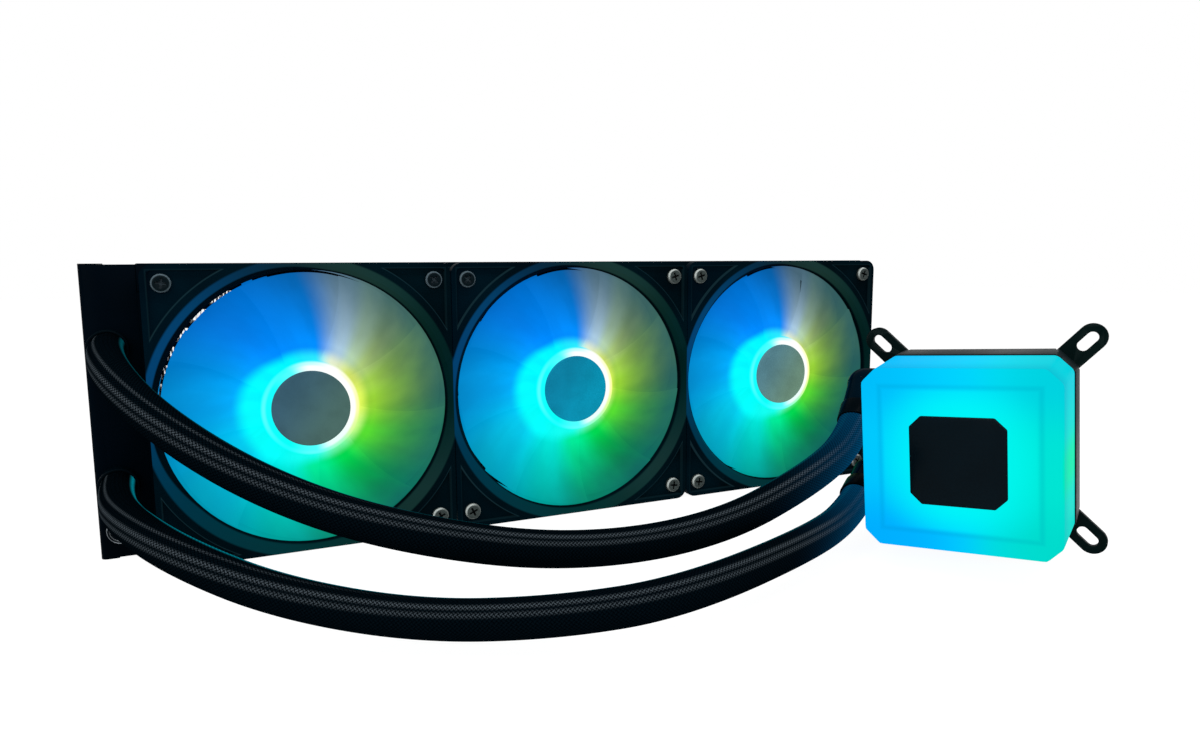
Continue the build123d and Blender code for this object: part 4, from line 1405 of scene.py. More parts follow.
@dataclass
class BraidedHose:
    """A stiff braided hose that follows a route of points from the tank to the pump head."""

    name: str
    node: str
    route: tuple[Point, ...]
    length: float
    radius: float = 0.0065
    sides: int = 48

    def build(self, finishes: Finishes, collars: Sequence[Piece]) -> None:
        """Args:
            finishes: The cooler's materials.
            collars: Not used.
        """
        line = self.curve()
        middle = self.read_line(line)
        tube = self.sweep(line, middle)
        dress(tube, ROOT, [finishes.braid], [self.node])

    def curve(self) -> Piece:
        """Makes the smooth curve that has the route's points as its control points.

        Returns:
            The curve, with no thickness yet.
        """
        data = bpy.data.curves.new(self.name + "_line", "CURVE")
        data.dimensions = "3D"
        data.resolution_u = 24
        spline = data.splines.new("NURBS")
        spline.points.add(len(self.route) - 1)
        for point, place in zip(spline.points, self.route):
            point.co = (*place, 1.0)
        spline.order_u = 3
        spline.use_endpoint_u = True
        line = bpy.data.objects.new(self.name + "_line", data)
        bpy.context.scene.collection.objects.link(line)
        return line

    @staticmethod
    def read_line(line: Piece) -> list[Vector]:
        """Reads the points along a curve that has no thickness.

        Args:
            line: The curve.

        Returns:
            Its points in order.
        """
        bpy.context.view_layer.update()
        mesh = bpy.data.meshes.new_from_object(line)
        points = [vertex.co.copy() for vertex in mesh.vertices]
        bpy.data.meshes.remove(mesh)
        return points

    def sweep(self, line: Piece, middle: Sequence[Vector]) -> Piece:
        """Gives the curve its thickness, makes it a mesh and maps it by metres and turns.

        Args:
            line: The curve.
            middle: The points along it.

        Returns:
            The tube.
        """
        line.data.bevel_depth = self.radius
        line.data.bevel_resolution = self.sides // 4 - 2
        line.data.use_fill_caps = True
        activate(line)
        bpy.ops.object.convert(target="MESH")
        tube = bpy.context.object
        tube.name = self.name
        with editing(tube):
            bpy.ops.mesh.select_all(action="SELECT")
            bpy.ops.mesh.remove_doubles(threshold=NEAR)
            bpy.ops.mesh.normals_make_consistent(inside=False)
        self.map_lengths(tube, middle)
        smooth(tube, 60.0)
        return tube

    def map_lengths(self, tube: Piece, middle: Sequence[Vector]) -> None:
        """Writes the tube's own map: metres along the hose, and turns round it.

        Args:
            tube: The tube.
            middle: The points along its middle line.
        """
        run = [0.0]
        for first, last in zip(middle, middle[1:]):
            run.append(run[-1] + (last - first).length)
        upward = Vector((0.0, 0.0, 1.0))
        where: list[tuple[float, float]] = []
        for vertex in tube.data.vertices:
            near = min(range(len(middle)), key=lambda number: (vertex.co - middle[number]).length_squared)
            before, after = middle[max(near - 1, 0)], middle[min(near + 1, len(middle) - 1)]
            ahead = (after - before).normalized()
            offset = vertex.co - middle[near]
            side = ahead.cross(upward).normalized()
            top = side.cross(ahead)
            turn = math.atan2(offset.dot(side), offset.dot(top)) / math.tau
            where.append((run[near] + offset.dot(ahead), turn))
        layer = tube.data.uv_layers.active or tube.data.uv_layers.new(name="hose_map")
        for face in tube.data.polygons:
            turns = [where[tube.data.loops[index].vertex_index][1] for index in face.loop_indices]
            wraps = max(turns) - min(turns) > 0.5
            for index, turn in zip(face.loop_indices, turns):
                metres = where[tube.data.loops[index].vertex_index][0]
                layer.data[index].uv = (metres, turn + 1.0 if wraps and turn < 0 else turn)


@dataclass
class HoseSet:
    """Both hoses with the collars at their ends."""

    upper: BraidedHose = field(default_factory=lambda: BraidedHose(
        "upper_hose", "hose_upper", UPPER_ROUTE, 0.383))
    lower: BraidedHose = field(default_factory=lambda: BraidedHose(
        "lower_hose", "hose_lower", LOWER_ROUTE, 0.392))
    collar_inner: float = 0.00655
    collar_outer: float = 0.0076
    tank_collar: float = 0.006
    pump_collar: float = 0.008
    lip: float = 0.0003

    def build(self, finishes: Finishes) -> None:
        """Builds the collars and the hoses.

        Args:
            finishes: The cooler's materials.
        """
        tank_rings = [self.collar(f"tank_collar_{number}", self.tank_collar, facing(*hose.route[0]))
                      for number, hose in enumerate((self.upper, self.lower), 1)]
        pump_rings = []
        for number, hose in enumerate((self.upper, self.lower), 1):
            end, before = Vector(hose.route[-1]), Vector(hose.route[-2])
            place = Matrix.Translation(end) @ (before - end).to_track_quat("Z", "Y").to_matrix().to_4x4()
            pump_rings.append(self.collar(f"pump_collar_{number}", self.pump_collar, place))
        collars = [dress(join(rings, name + "_collar_pair"), ROOT, [finishes.sleeve],
                         [name + "_collars"])
                   for name, rings in (("tank", tank_rings), ("pump", pump_rings))]
        self.upper.build(finishes, collars)
        self.lower.build(finishes, [])

    def collar(self, name: str, length: float, place: Matrix) -> Piece:
        """Builds a shrunk-on collar with rounded lips.

        Args:
            name: The piece's name.
            length: How long it is.
            place: Where it starts, with its own Z along the hose.

        Returns:
            The collar.
        """
        ring = drum(name, self.collar_outer, 0.0, length)
        with editing(ring):
            pick_faces(ring, lambda middle, normal: normal.z > ALONG)
            bpy.ops.mesh.inset(thickness=self.collar_outer - self.collar_inner)
            extrude(-length * 0.96)
            bpy.ops.mesh.delete(type="FACE")
            pick_faces(ring, lambda middle, normal: normal.z < -ALONG)
            bpy.ops.mesh.inset(thickness=self.collar_outer - self.collar_inner)
            bpy.ops.mesh.delete(type="FACE")
            pick_vertices(ring, lambda spot: (spot.xy.length < self.collar_inner + 0.0002
                                              and spot.z < length * 0.1))
            bpy.ops.mesh.remove_doubles(threshold=length * 0.06)
            bpy.ops.mesh.select_all(action="SELECT")
            bpy.ops.mesh.normals_make_consistent(inside=False)
        soften(ring, self.lip, 3)
        return settle(ring, place)


# Radiator


@dataclass
class Radiator:
    """The radiator: two end tanks, two rails, and rows of folded foil between flat tubes."""

    depth: float = 0.027
    height: float = 0.120
    core_end: float = 0.182
    left_width: float = 0.020
    right_width: float = 0.012
    corner: float = 0.0025
    lip_width: float = 0.0067
    lip_rise: float = 0.0004
    rail_height: float = 0.0115
    screw_hole: float = 0.00165
    tapped_hole: float = 0.00125
    hole_depth: float = 0.003
    hole_heights: tuple[float, float] = (0.0075, 0.1125)
    hole_places: tuple[float, ...] = (-0.1725, -0.0675, -0.0525, 0.0525, 0.0675, 0.1725)
    tube_count: int = 12
    tube_thickness: float = 0.002
    fin_depth: float = 0.0204
    fin_pitch: float = 0.0014
    fin_inset: float = 0.0028
    plug_radius: float = 0.0055
    plug_thickness: float = 0.0014
    plug_groove: tuple[float, float] = (0.0043, 0.0032)
    plug_socket: float = 0.0022
    plug_edge: float = 0.00025
    tank_edge: float = 0.0004
    rail_edge: float = 0.0006
    foil_thickness: float = 0.00012
    foil_gap: float = 0.0001

    def build(self, finishes: Finishes) -> None:
        """Builds the tanks, the rails, the fins and the fill plug.

        Args:
            finishes: The cooler's materials.
        """
        dress(self.left_tank(), ROOT, [finishes.black_paint], ["tank_left"])
        dress(self.right_tank(), ROOT, [finishes.black_paint], ["tank_right"])
        for name, low in (("rail_bottom", 0.0), ("rail_top", self.height - self.rail_height)):
            dress(self.rail(name, low), ROOT, [finishes.black_paint], [name])
        dress(self.fins(), ROOT, [finishes.foil], ["core_fins"])
        dress(self.plug(), ROOT, [finishes.plug_paint], ["fill_plug"])
        dress_node("fill_plug_seal", finishes.rubber)
        dress_node("core_tubes", finishes.core_metal)
        for node in ("header_left", "header_right"):
            dress_node(node, finishes.black_paint)

    def left_tank(self) -> Piece:
        """Models the wide tank, with its raised outer lip and rounded outer corners.

        Returns:
            The tank.
        """
        outer = -self.core_end - self.left_width
        middle = self.height / 2
        lip_end = outer + self.lip_width
        inner_height = self.height - 2 * self.lip_rise
        step = block("step", (self.left_width - self.lip_width, self.depth, inner_height),
                     ((lip_end - self.core_end) / 2, 0, middle))
        lip = block("tank_left_shell", (self.lip_width, self.depth, self.height),
                    ((outer + lip_end) / 2, 0, middle))
        cut(lip, step, "UNION")
        self.round_end(lip, outer)
        soften(lip, self.tank_edge, 3)
        return lip

    def right_tank(self) -> Piece:
        """Models the narrow tank, where the flow turns back.

        Returns:
            The tank.
        """
        tank = block("tank_right_shell", (self.right_width, self.depth, self.height),
                     (self.core_end + self.right_width / 2, 0, self.height / 2))
        self.round_end(tank, self.core_end + self.right_width)
        soften(tank, self.tank_edge, 3)
        return tank

    def round_end(self, tank: Piece, end: float) -> None:
        """Rounds a tank's outer upright edges, and half as much its outer level ones.

        Args:
            tank: The tank.
            end: Where its outer face is along the radiator.
        """
        top = self.height - NEAR
        with editing(tank):
            bevel_edges(tank, lambda middle, way: abs(middle.x - end) < NEAR and abs(way.z) > ALONG,
                        self.corner, 6)
            bevel_edges(tank, lambda middle, way: (abs(middle.x - end) < NEAR and abs(way.y) > ALONG
                                                   and (middle.z > top or middle.z < NEAR)),
                        self.corner / 2, 4)

    def rail(self, name: str, low: float) -> Piece:
        """Models a side rail with its screw holes.

        Args:
            name: The solid that it stands for.
            low: The height of its underside.

        Returns:
            The rail.
        """
        rail = block(name + "_shell", (2 * self.core_end, self.depth, self.rail_height),
                     (0, 0, low + self.rail_height / 2))
        soften(rail, self.rail_edge, 3)
        height = self.hole_heights[0] if low == 0 else self.hole_heights[1]
        drills = []
        for side, radius in ((-1, self.screw_hole), (1, self.tapped_hole)):
            for place in self.hole_places:
                drill = drum("drill", radius, -self.hole_depth, self.hole_depth, sides=24)
                drills.append(settle(drill, facing(place, side * self.depth / 2, height)))
        cut(rail, join(drills, "drills"))
        smooth(rail)
        return rail

    def fins(self) -> Piece:
        """Models the folded foil: one fold, repeated along each gap and for each gap.

        Returns:
            All rows of foil.
        """
        core_height = self.height - 2 * self.rail_height
        gap = (core_height - self.tube_count * self.tube_thickness) / (self.tube_count + 1)
        end = self.core_end - self.fin_inset
        folds = round(2 * end / self.fin_pitch)
        pitch = 2 * end / folds
        deselect_all()
        bpy.ops.mesh.primitive_grid_add(x_subdivisions=2, y_subdivisions=1, size=1)
        foil = bpy.context.object
        foil.name = "fin_foil"
        with editing(foil):
            bpy.ops.mesh.select_all(action="SELECT")
            bpy.ops.transform.resize(value=(pitch, self.fin_depth, 1))
            pick_vertices(foil, lambda place: abs(place.x) < pitch / 4)
            bpy.ops.transform.translate(value=(0, 0, gap - 2 * self.foil_gap))
            bpy.ops.mesh.select_all(action="SELECT")
            bpy.ops.transform.translate(value=(-end + pitch / 2, 0, self.rail_height + self.foil_gap))
        apply_modifier(foil, "ARRAY", count=folds, use_relative_offset=False, use_constant_offset=True,
                       constant_offset_displace=(pitch, 0, 0), use_merge_vertices=True,
                       merge_threshold=NEAR)
        apply_modifier(foil, "SOLIDIFY", thickness=self.foil_thickness, offset=0.0)
        apply_modifier(foil, "ARRAY", count=self.tube_count + 1, use_relative_offset=False,
                       use_constant_offset=True, constant_offset_displace=(0, 0, gap + self.tube_thickness))
        return foil

    def plug(self) -> Piece:
        """Models the fill plug, with a groove in its face and a hexagonal socket.

        Returns:
            The plug.
        """
        thick = self.plug_thickness
        plug = drum("fill_plug_head", self.plug_radius, 0, thick, sides=48)
        outer, inner = self.plug_groove
        groove = drum("groove", outer, thick * 2 / 3, thick * 2, sides=48)
        cut(groove, drum("core", inner, 0, thick * 3, sides=48))
        cut(plug, groove)
        cut(plug, drum("socket", self.plug_socket, thick * 0.3, thick * 2, sides=6))
        soften(plug, self.plug_edge, 2)
        return settle(plug, facing(*PLUG_PLACE))


# Fans


@dataclass(frozen=True)
class FanLook:
    """What differs from one fan to the next."""

    place: float
    slant: tuple[float, float]
    fade: float
    # cap is the hub cap's painted glow, cap_tint its painted tint towards the upper left
    cap: Colour
    cap_tint: Colour
    dark_screws: tuple[bool, bool, bool, bool]


FAN_LOOKS = (
    FanLook(-0.120, (0.11, -0.16), 0.95, srgb(76, 108, 102), srgb(62, 98, 116), (False, False, True, True)),
    FanLook(0.0, (0.43, -0.16), 1.15, srgb(6, 152, 186), srgb(12, 132, 168), (False, False, True, False)),
    FanLook(0.120, (0.75, -0.16), 1.4, srgb(110, 144, 124), srgb(88, 134, 146), (False, False, False, False)),
)


@dataclass(frozen=True)
class BladeRow:
    """A blade's section: its chord, pitch, sag and swing round the hub."""

    chord: float
    pitch: float
    sag: float
    swing: float


@dataclass
class Blade:
    """One cambered blade, lofted through three rows from inside the hub to past the tip."""

    root: BladeRow = BladeRow(0.027, math.radians(30), 0.0022, 0.0)
    waist: BladeRow = BladeRow(0.043, math.radians(22), 0.0032, math.radians(5))
    tip: BladeRow = BladeRow(0.057, math.radians(17), 0.0036, math.radians(14))
    start: float = 0.015
    end: float = 0.0582
    level: float = 0.0136
    thickness: float = 0.0012
    rows: int = 12
    columns: int = 14

    def row(self, share: float) -> BladeRow:
        """Works out the section at a share of the way out.

        Args:
            share: 0 at the hub and 1 at the tip.

        Returns:
            The section there, on a curve through the three rows.
        """
        weights = (2 * (share - 0.5) * (share - 1), 4 * share * (1 - share), 2 * share * (share - 0.5))
        three = (self.root, self.waist, self.tip)
        sums = [sum(weight * getattr(row, key) for weight, row in zip(weights, three))
                for key in ("chord", "pitch", "sag", "swing")]
        return BladeRow(*sums)

    def model(self) -> Piece:
        """Shapes a flat grid to the blade, row by row, and thickens it.

        Returns:
            The blade, about the fan's axis, with its span along X.
        """
        deselect_all()
        bpy.ops.mesh.primitive_grid_add(x_subdivisions=self.rows, y_subdivisions=self.columns, size=1)
        blade = bpy.context.object
        blade.name = "blade"
        with editing(blade):
            for column in range(1, self.columns):
                across = column / self.columns - 0.5
                pick_vertices(blade, lambda place: abs(place.y - across) < 0.001)
                bpy.ops.transform.translate(value=(0, 0, 1 - 4 * across ** 2))
            span = self.end - self.start
            for number in range(self.rows + 1):
                share = number / self.rows
                row = self.row(share)
                radius = self.start + span * share
                pick_vertices(blade, lambda place: abs(place.x - (share - 0.5)) < 0.001)
                bpy.ops.transform.resize(value=(1, row.chord, row.sag), center_override=(share - 0.5, 0, 0))
                bpy.ops.transform.rotate(value=-row.pitch, orient_axis="X",
                                         center_override=(share - 0.5, 0, 0))
                bpy.ops.transform.translate(value=(1 + radius - (share - 0.5), 0, self.level))
                bpy.ops.transform.rotate(value=-row.swing, orient_axis="Z", center_override=(1, 0, 0))
            bpy.ops.mesh.select_all(action="SELECT")
            bpy.ops.transform.translate(value=(-1, 0, 0))
        apply_modifier(blade, "SOLIDIFY", thickness=self.thickness, offset=0.0)
        apply_modifier(blade, "BEVEL", width=0.0003, segments=2, limit_method="ANGLE",
                       angle_limit=math.radians(50))
        smooth(blade, 50.0)
        return blade


@dataclass
class Fan:
    """One fan: a frame with a flared duct, a lit rotor, its cap and four screws."""

    number: int
    look: FanLook
    side: float = 0.1196
    depth: float = 0.025
    corner: float = 0.005
    rear: float = -0.0135
    height: float = 0.060
    hole: float = 0.0525
    hole_radius: float = 0.00215
    flange: float = 0.004
    post_radius: float = 0.0044
    duct: float = 0.0572
    duct_wall: float = 0.0016
    flare_depth: float = 0.0034
    flare_width: float = 0.0021
    pocket_depth: float = 0.0016
    pocket_rim: float = 0.0022
    pocket_arc: float = 0.0654
    base_radius: float = 0.0196
    base_thickness: float = 0.0026
    strut: tuple[float, float] = (0.0045, 0.0036)
    strut_angle: float = math.radians(22)
    strut_count: int = 4
    strut_edge: float = 0.0008
    tube_radius: float = 0.005
    tube_bore: float = 0.003
    tube_top: float = 0.015
    hub_radius: float = 0.020
    hub_bottom: float = 0.0044
    hub_top: float = 0.0224
    hub_wall: float = 0.0026
    hub_edge: float = 0.0014
    hub_face: float = 0.0024
    cap_radius: float = 0.0157
    cap_recess: float = 0.0004
    cap_thickness: float = 0.001
    blade_count: int = 9
    blade_tip: float = 0.0561
    screw_radius: float = 0.0036
    screw_height: float = 0.0024
    round_sides: int = 96
    frame_edge: float = 0.00028
    cap_rings: tuple[float, float] = (0.0008, 0.0003)
    cap_dish: float = 0.00012
    cap_edge: float = 0.00025
    shank_radius: float = 0.0015
    shank_low: float = -0.0026
    head_edge: float = 0.0011
    cross: tuple[float, float, float] = (0.0040, 0.0009, 0.0016)
    cross_edge: float = 0.00012
    # How much the plated screws' painted rim highlight fades away from their upper left
    glint: float = 0.8

    def build(self, finishes: Finishes) -> None:
        """Builds the fan in its own space and puts it on the radiator.

        Args:
            finishes: The cooler's materials.
        """
        centre = (self.look.place, self.rear, self.height)
        place = facing(*centre)
        node = f"fan_{self.number}"
        body = f"rotor_{self.number}"
        casing = FrameMoulding(node + "_frame", centre, self.look.slant, self.look.fade).make()
        blades = FrostedBlade(node + "_blades", centre, self.look.slant, self.look.fade).make()
        ring = HubRing(node + "_ring", centre).make()
        cap = HubCap(node + "_cap", centre, self.look.cap, self.look.cap_tint).make()
        top = self.depth - self.pocket_depth + self.screw_height
        plated = ScrewHead(node + "_plated_screw", ScrewFinish.PLATED, centre, self.hole,
                           self.screw_radius, top, self.glint).make()
        blackened = ScrewHead(node + "_dark_screw", ScrewFinish.BLACKENED, centre, self.hole,
                              self.screw_radius, top).make()

        dress(settle(self.frame_moulding(node + "_casing"), place), ROOT, [casing],
              [node + "_frame"])
        dress(settle(self.rotor(node + "_wheel"), place), body, [blades, ring],
              [node + "_rotor"])
        dress(settle(self.cap(node + "_cover"), place), body, [cap], [node + "_hub_cap"])
        dress(settle(self.screws(node + "_fasteners"), place), ROOT, [plated, blackened],
              [node + "_screws"])
        inner = {"shaft": finishes.ground_steel, "bearing": finishes.brass, "magnet": finishes.magnet,
                 "board": finishes.board, "stator": finishes.coils}
        for part, material in inner.items():
            dress_node(f"{node}_{part}", material)

    def corners(self) -> list[tuple[float, float]]:
        """Lists the four screw places: bottom left, bottom right, top left, top right."""
        return [(x * self.hole, y * self.hole) for y in (-1, 1) for x in (-1, 1)]

    def frame_moulding(self, name: str) -> Piece:
        """Models the frame: flanges, duct with its flared mouth, corner pockets and struts.

        Args:
            name: The piece's name.

        Returns:
            The frame in the fan's own space.
        """
        shell = block(name, (self.side, self.side, self.depth), (0, 0, self.depth / 2))
        bevel_uprights(shell, self.corner, 6)
        waist = block("waist", (self.side + 0.002, self.side + 0.002, self.depth - 2 * self.flange),
                      (0, 0, self.depth / 2))
        cut(waist, drum("wall", self.duct + self.duct_wall, 0, self.depth, sides=self.round_sides))
        cut(waist, self.at_corners("posts", self.post_radius, 0, self.depth, 32))
        cut(shell, waist)
        cut(shell, drum("bore", self.duct, -0.001, self.depth + 0.001, sides=self.round_sides))
        cut(shell, self.mouth())
        cut(shell, self.pockets())
        cut(shell, self.at_corners("holes", self.hole_radius, -0.001, self.depth + 0.001, 24))
        soften(shell, self.frame_edge, 2)
        cut(shell, self.motor_mount(), "UNION")
        smooth(shell)
        return shell

    def at_corners(self, name: str, radius: float, low: float, high: float, sides: int) -> Piece:
        """Models four equal round bars at the screw places, as one object."""
        bars = [drum(name, radius, low, high, corner, sides) for corner in self.corners()]
        return join(bars, name)

    def mouth(self) -> Piece:
        """Models the cone that flares the front of the duct.

        Returns:
            The cone.
        """
        spare = 0.001
        slope = self.flare_width / self.flare_depth
        deselect_all()
        bpy.ops.mesh.primitive_cone_add(
            vertices=self.round_sides, radius1=self.duct - spare * slope,
            radius2=self.duct + self.flare_width + spare * slope, depth=self.flare_depth + 2 * spare,
            location=(0, 0, self.depth - self.flare_depth / 2))
        cone = bpy.context.object
        cone.name = "mouth"
        bpy.ops.object.transform_apply(location=True, rotation=True, scale=True)
        return cone

    def pockets(self) -> Piece:
        """Models what is taken out of the front at the corners, inside a thin rim.

        Returns:
            The four pockets' volumes.
        """
        width = self.side - 2 * self.pocket_rim
        floor = self.depth - self.pocket_depth
        tool = block("pockets", (width, width, 2 * self.pocket_depth), (0, 0, floor + self.pocket_depth))
        bevel_uprights(tool, self.corner / 2, 4)
        cut(tool, drum("arc", self.pocket_arc, 0, 2 * self.depth, sides=self.round_sides))
        return tool

    def motor_mount(self) -> Piece:
        """Models the motor's base with the bearing tube and the struts that hold it.

        Returns:
            The mount.
        """
        mount = drum("mount", self.base_radius, 0, self.base_thickness, sides=64)
        width, rise = self.strut
        reach = self.duct + self.duct_wall / 2
        for number in range(self.strut_count):
            strut = block("strut", (reach - self.base_radius / 2, width, rise),
                          ((reach + self.base_radius / 2) / 2, 0, rise / 2))
            soften(strut, self.strut_edge, 3)
            turn = self.strut_angle + math.tau * number / self.strut_count
            cut(mount, settle(strut, Matrix.Rotation(turn, 4, "Z")), "UNION")
        tube = drum("tube", self.tube_radius, self.base_thickness / 2, self.tube_top, sides=48)
        cut(mount, tube, "UNION")
        cut(mount, drum("bore", self.tube_bore, self.base_thickness, self.tube_top + 0.001, sides=48))
        return mount

    def rotor(self, name: str) -> Piece:
        """Models the rotor: a cup-shaped hub with its blades round it.

        Args:
            name: The piece's name.

        Returns:
            The rotor in the fan's own space, with the hub's front as its second material.
        """
        hub = drum(name, self.hub_radius, self.hub_bottom, self.hub_top, sides=self.round_sides)
        with editing(hub):
            bevel_edges(hub, lambda middle, way: middle.z > self.hub_top - NEAR, self.hub_edge, 5)
            pick_faces(hub, lambda middle, normal: normal.z > FLAT and middle.z > self.hub_top - NEAR)
            bpy.ops.mesh.inset(thickness=self.hub_radius - self.hub_edge - self.cap_radius - 0.0001)
            extrude(-self.cap_recess)
            pick_faces(hub, lambda middle, normal: normal.z < -FLAT and middle.z < self.hub_bottom + NEAR)
            bpy.ops.mesh.inset(thickness=self.hub_wall)
            extrude(self.hub_top - self.hub_bottom - self.hub_face)
        smooth(hub, 40.0)
        first = self.trimmed_blade()
        blades = [copy_of(first, f"blade_{number}") for number in range(self.blade_count)]
        for number, blade in enumerate(blades):
            settle(blade, Matrix.Rotation(math.tau * number / self.blade_count, 4, "Z"))
        bpy.data.objects.remove(first)
        rotor = join([hub, *blades], name)
        return self.number_faces(rotor, lambda corners: all(
            corner.z > self.hub_top - self.hub_edge - NEAR and corner.xy.length < self.hub_radius + NEAR
            for corner in corners))

    @staticmethod
    def number_faces(piece: Piece, test: Callable[[list[Vector]], bool]) -> Piece:
        """Gives the second material to the faces that pass a test.

        Args:
            piece: The object.
            test: Takes the places of a face's corners.

        Returns:
            The same object.
        """
        places = [vertex.co for vertex in piece.data.vertices]
        for face in piece.data.polygons:
            face.material_index = int(test([places[index] for index in face.vertices]))
        return piece

    def trimmed_blade(self) -> Piece:
        """Models one blade, trimmed to the hub's wall and the tip's round.

        Returns:
            The blade, with its span along X.
        """
        blade = Blade().model()
        band = drum("band", self.blade_tip, 0, self.depth, sides=360)
        cut(band, drum("inside", self.hub_radius - self.hub_wall / 2, -0.001, self.depth + 0.001, sides=48))
        cut(blade, band, "INTERSECT")
        smooth(blade, 50.0)
        return blade

    def cap(self, name: str) -> Piece:
        """Models the hub's cap: a disc with a rounded edge and a faint dish.

        Args:
            name: The piece's name.

        Returns:
            The cap in the fan's own space.
        """
        low = self.hub_top - self.cap_recess
        high = low + self.cap_thickness
        cap = drum(name, self.cap_radius, low, high, sides=self.round_sides)
        with editing(cap):
            pick_faces(cap, lambda middle, normal: normal.z > FLAT)
            for ring in self.cap_rings:
                bpy.ops.mesh.inset(thickness=ring)
            bpy.ops.transform.translate(value=(0, 0, -self.cap_dish))
        soften(cap, self.cap_edge, 3)
        return cap

    def screws(self, name: str) -> Piece:
        """Models the four screws with their crossed recesses.

        Args:
            name: The piece's name.

        Returns:
            The screws in the fan's own space; the dark ones have the second material.
        """
        seat = self.depth - self.pocket_depth
        top = seat + self.screw_height
        head = drum("head", self.screw_radius, seat, top, sides=40)
        with editing(head):
            bevel_edges(head, lambda middle, way: middle.z > top - NEAR, self.head_edge, 5)
            pick_faces(head, lambda middle, normal: normal.z < -FLAT)
            bpy.ops.mesh.inset(thickness=self.screw_radius - self.shank_radius)
            extrude(self.shank_low - seat)
        length, width, deep = self.cross
        cross = block("cross", (length, width, 2 * deep), (0, 0, top))
        cut(cross, block("bar", (width, length, 2 * deep), (0, 0, top)), "UNION")
        cut(head, cross)
        soften(head, self.cross_edge, 2)
        screws = []
        for number, corner in enumerate(self.corners()):
            screw = copy_of(head, "screw")
            turn = Matrix.Rotation(number + self.number, 4, "Z")
            screws.append(settle(screw, Matrix.Translation((*corner, 0)) @ turn))
        bpy.data.objects.remove(head)
        dark = [corner for corner, is_dark in zip(self.corners(), self.look.dark_screws) if is_dark]
        reach = 2 * self.screw_radius
        return self.number_faces(join(screws, name), lambda corners: any(
            (corners[0].xy - Vector(place)).length < reach for place in dark))


# Pump head


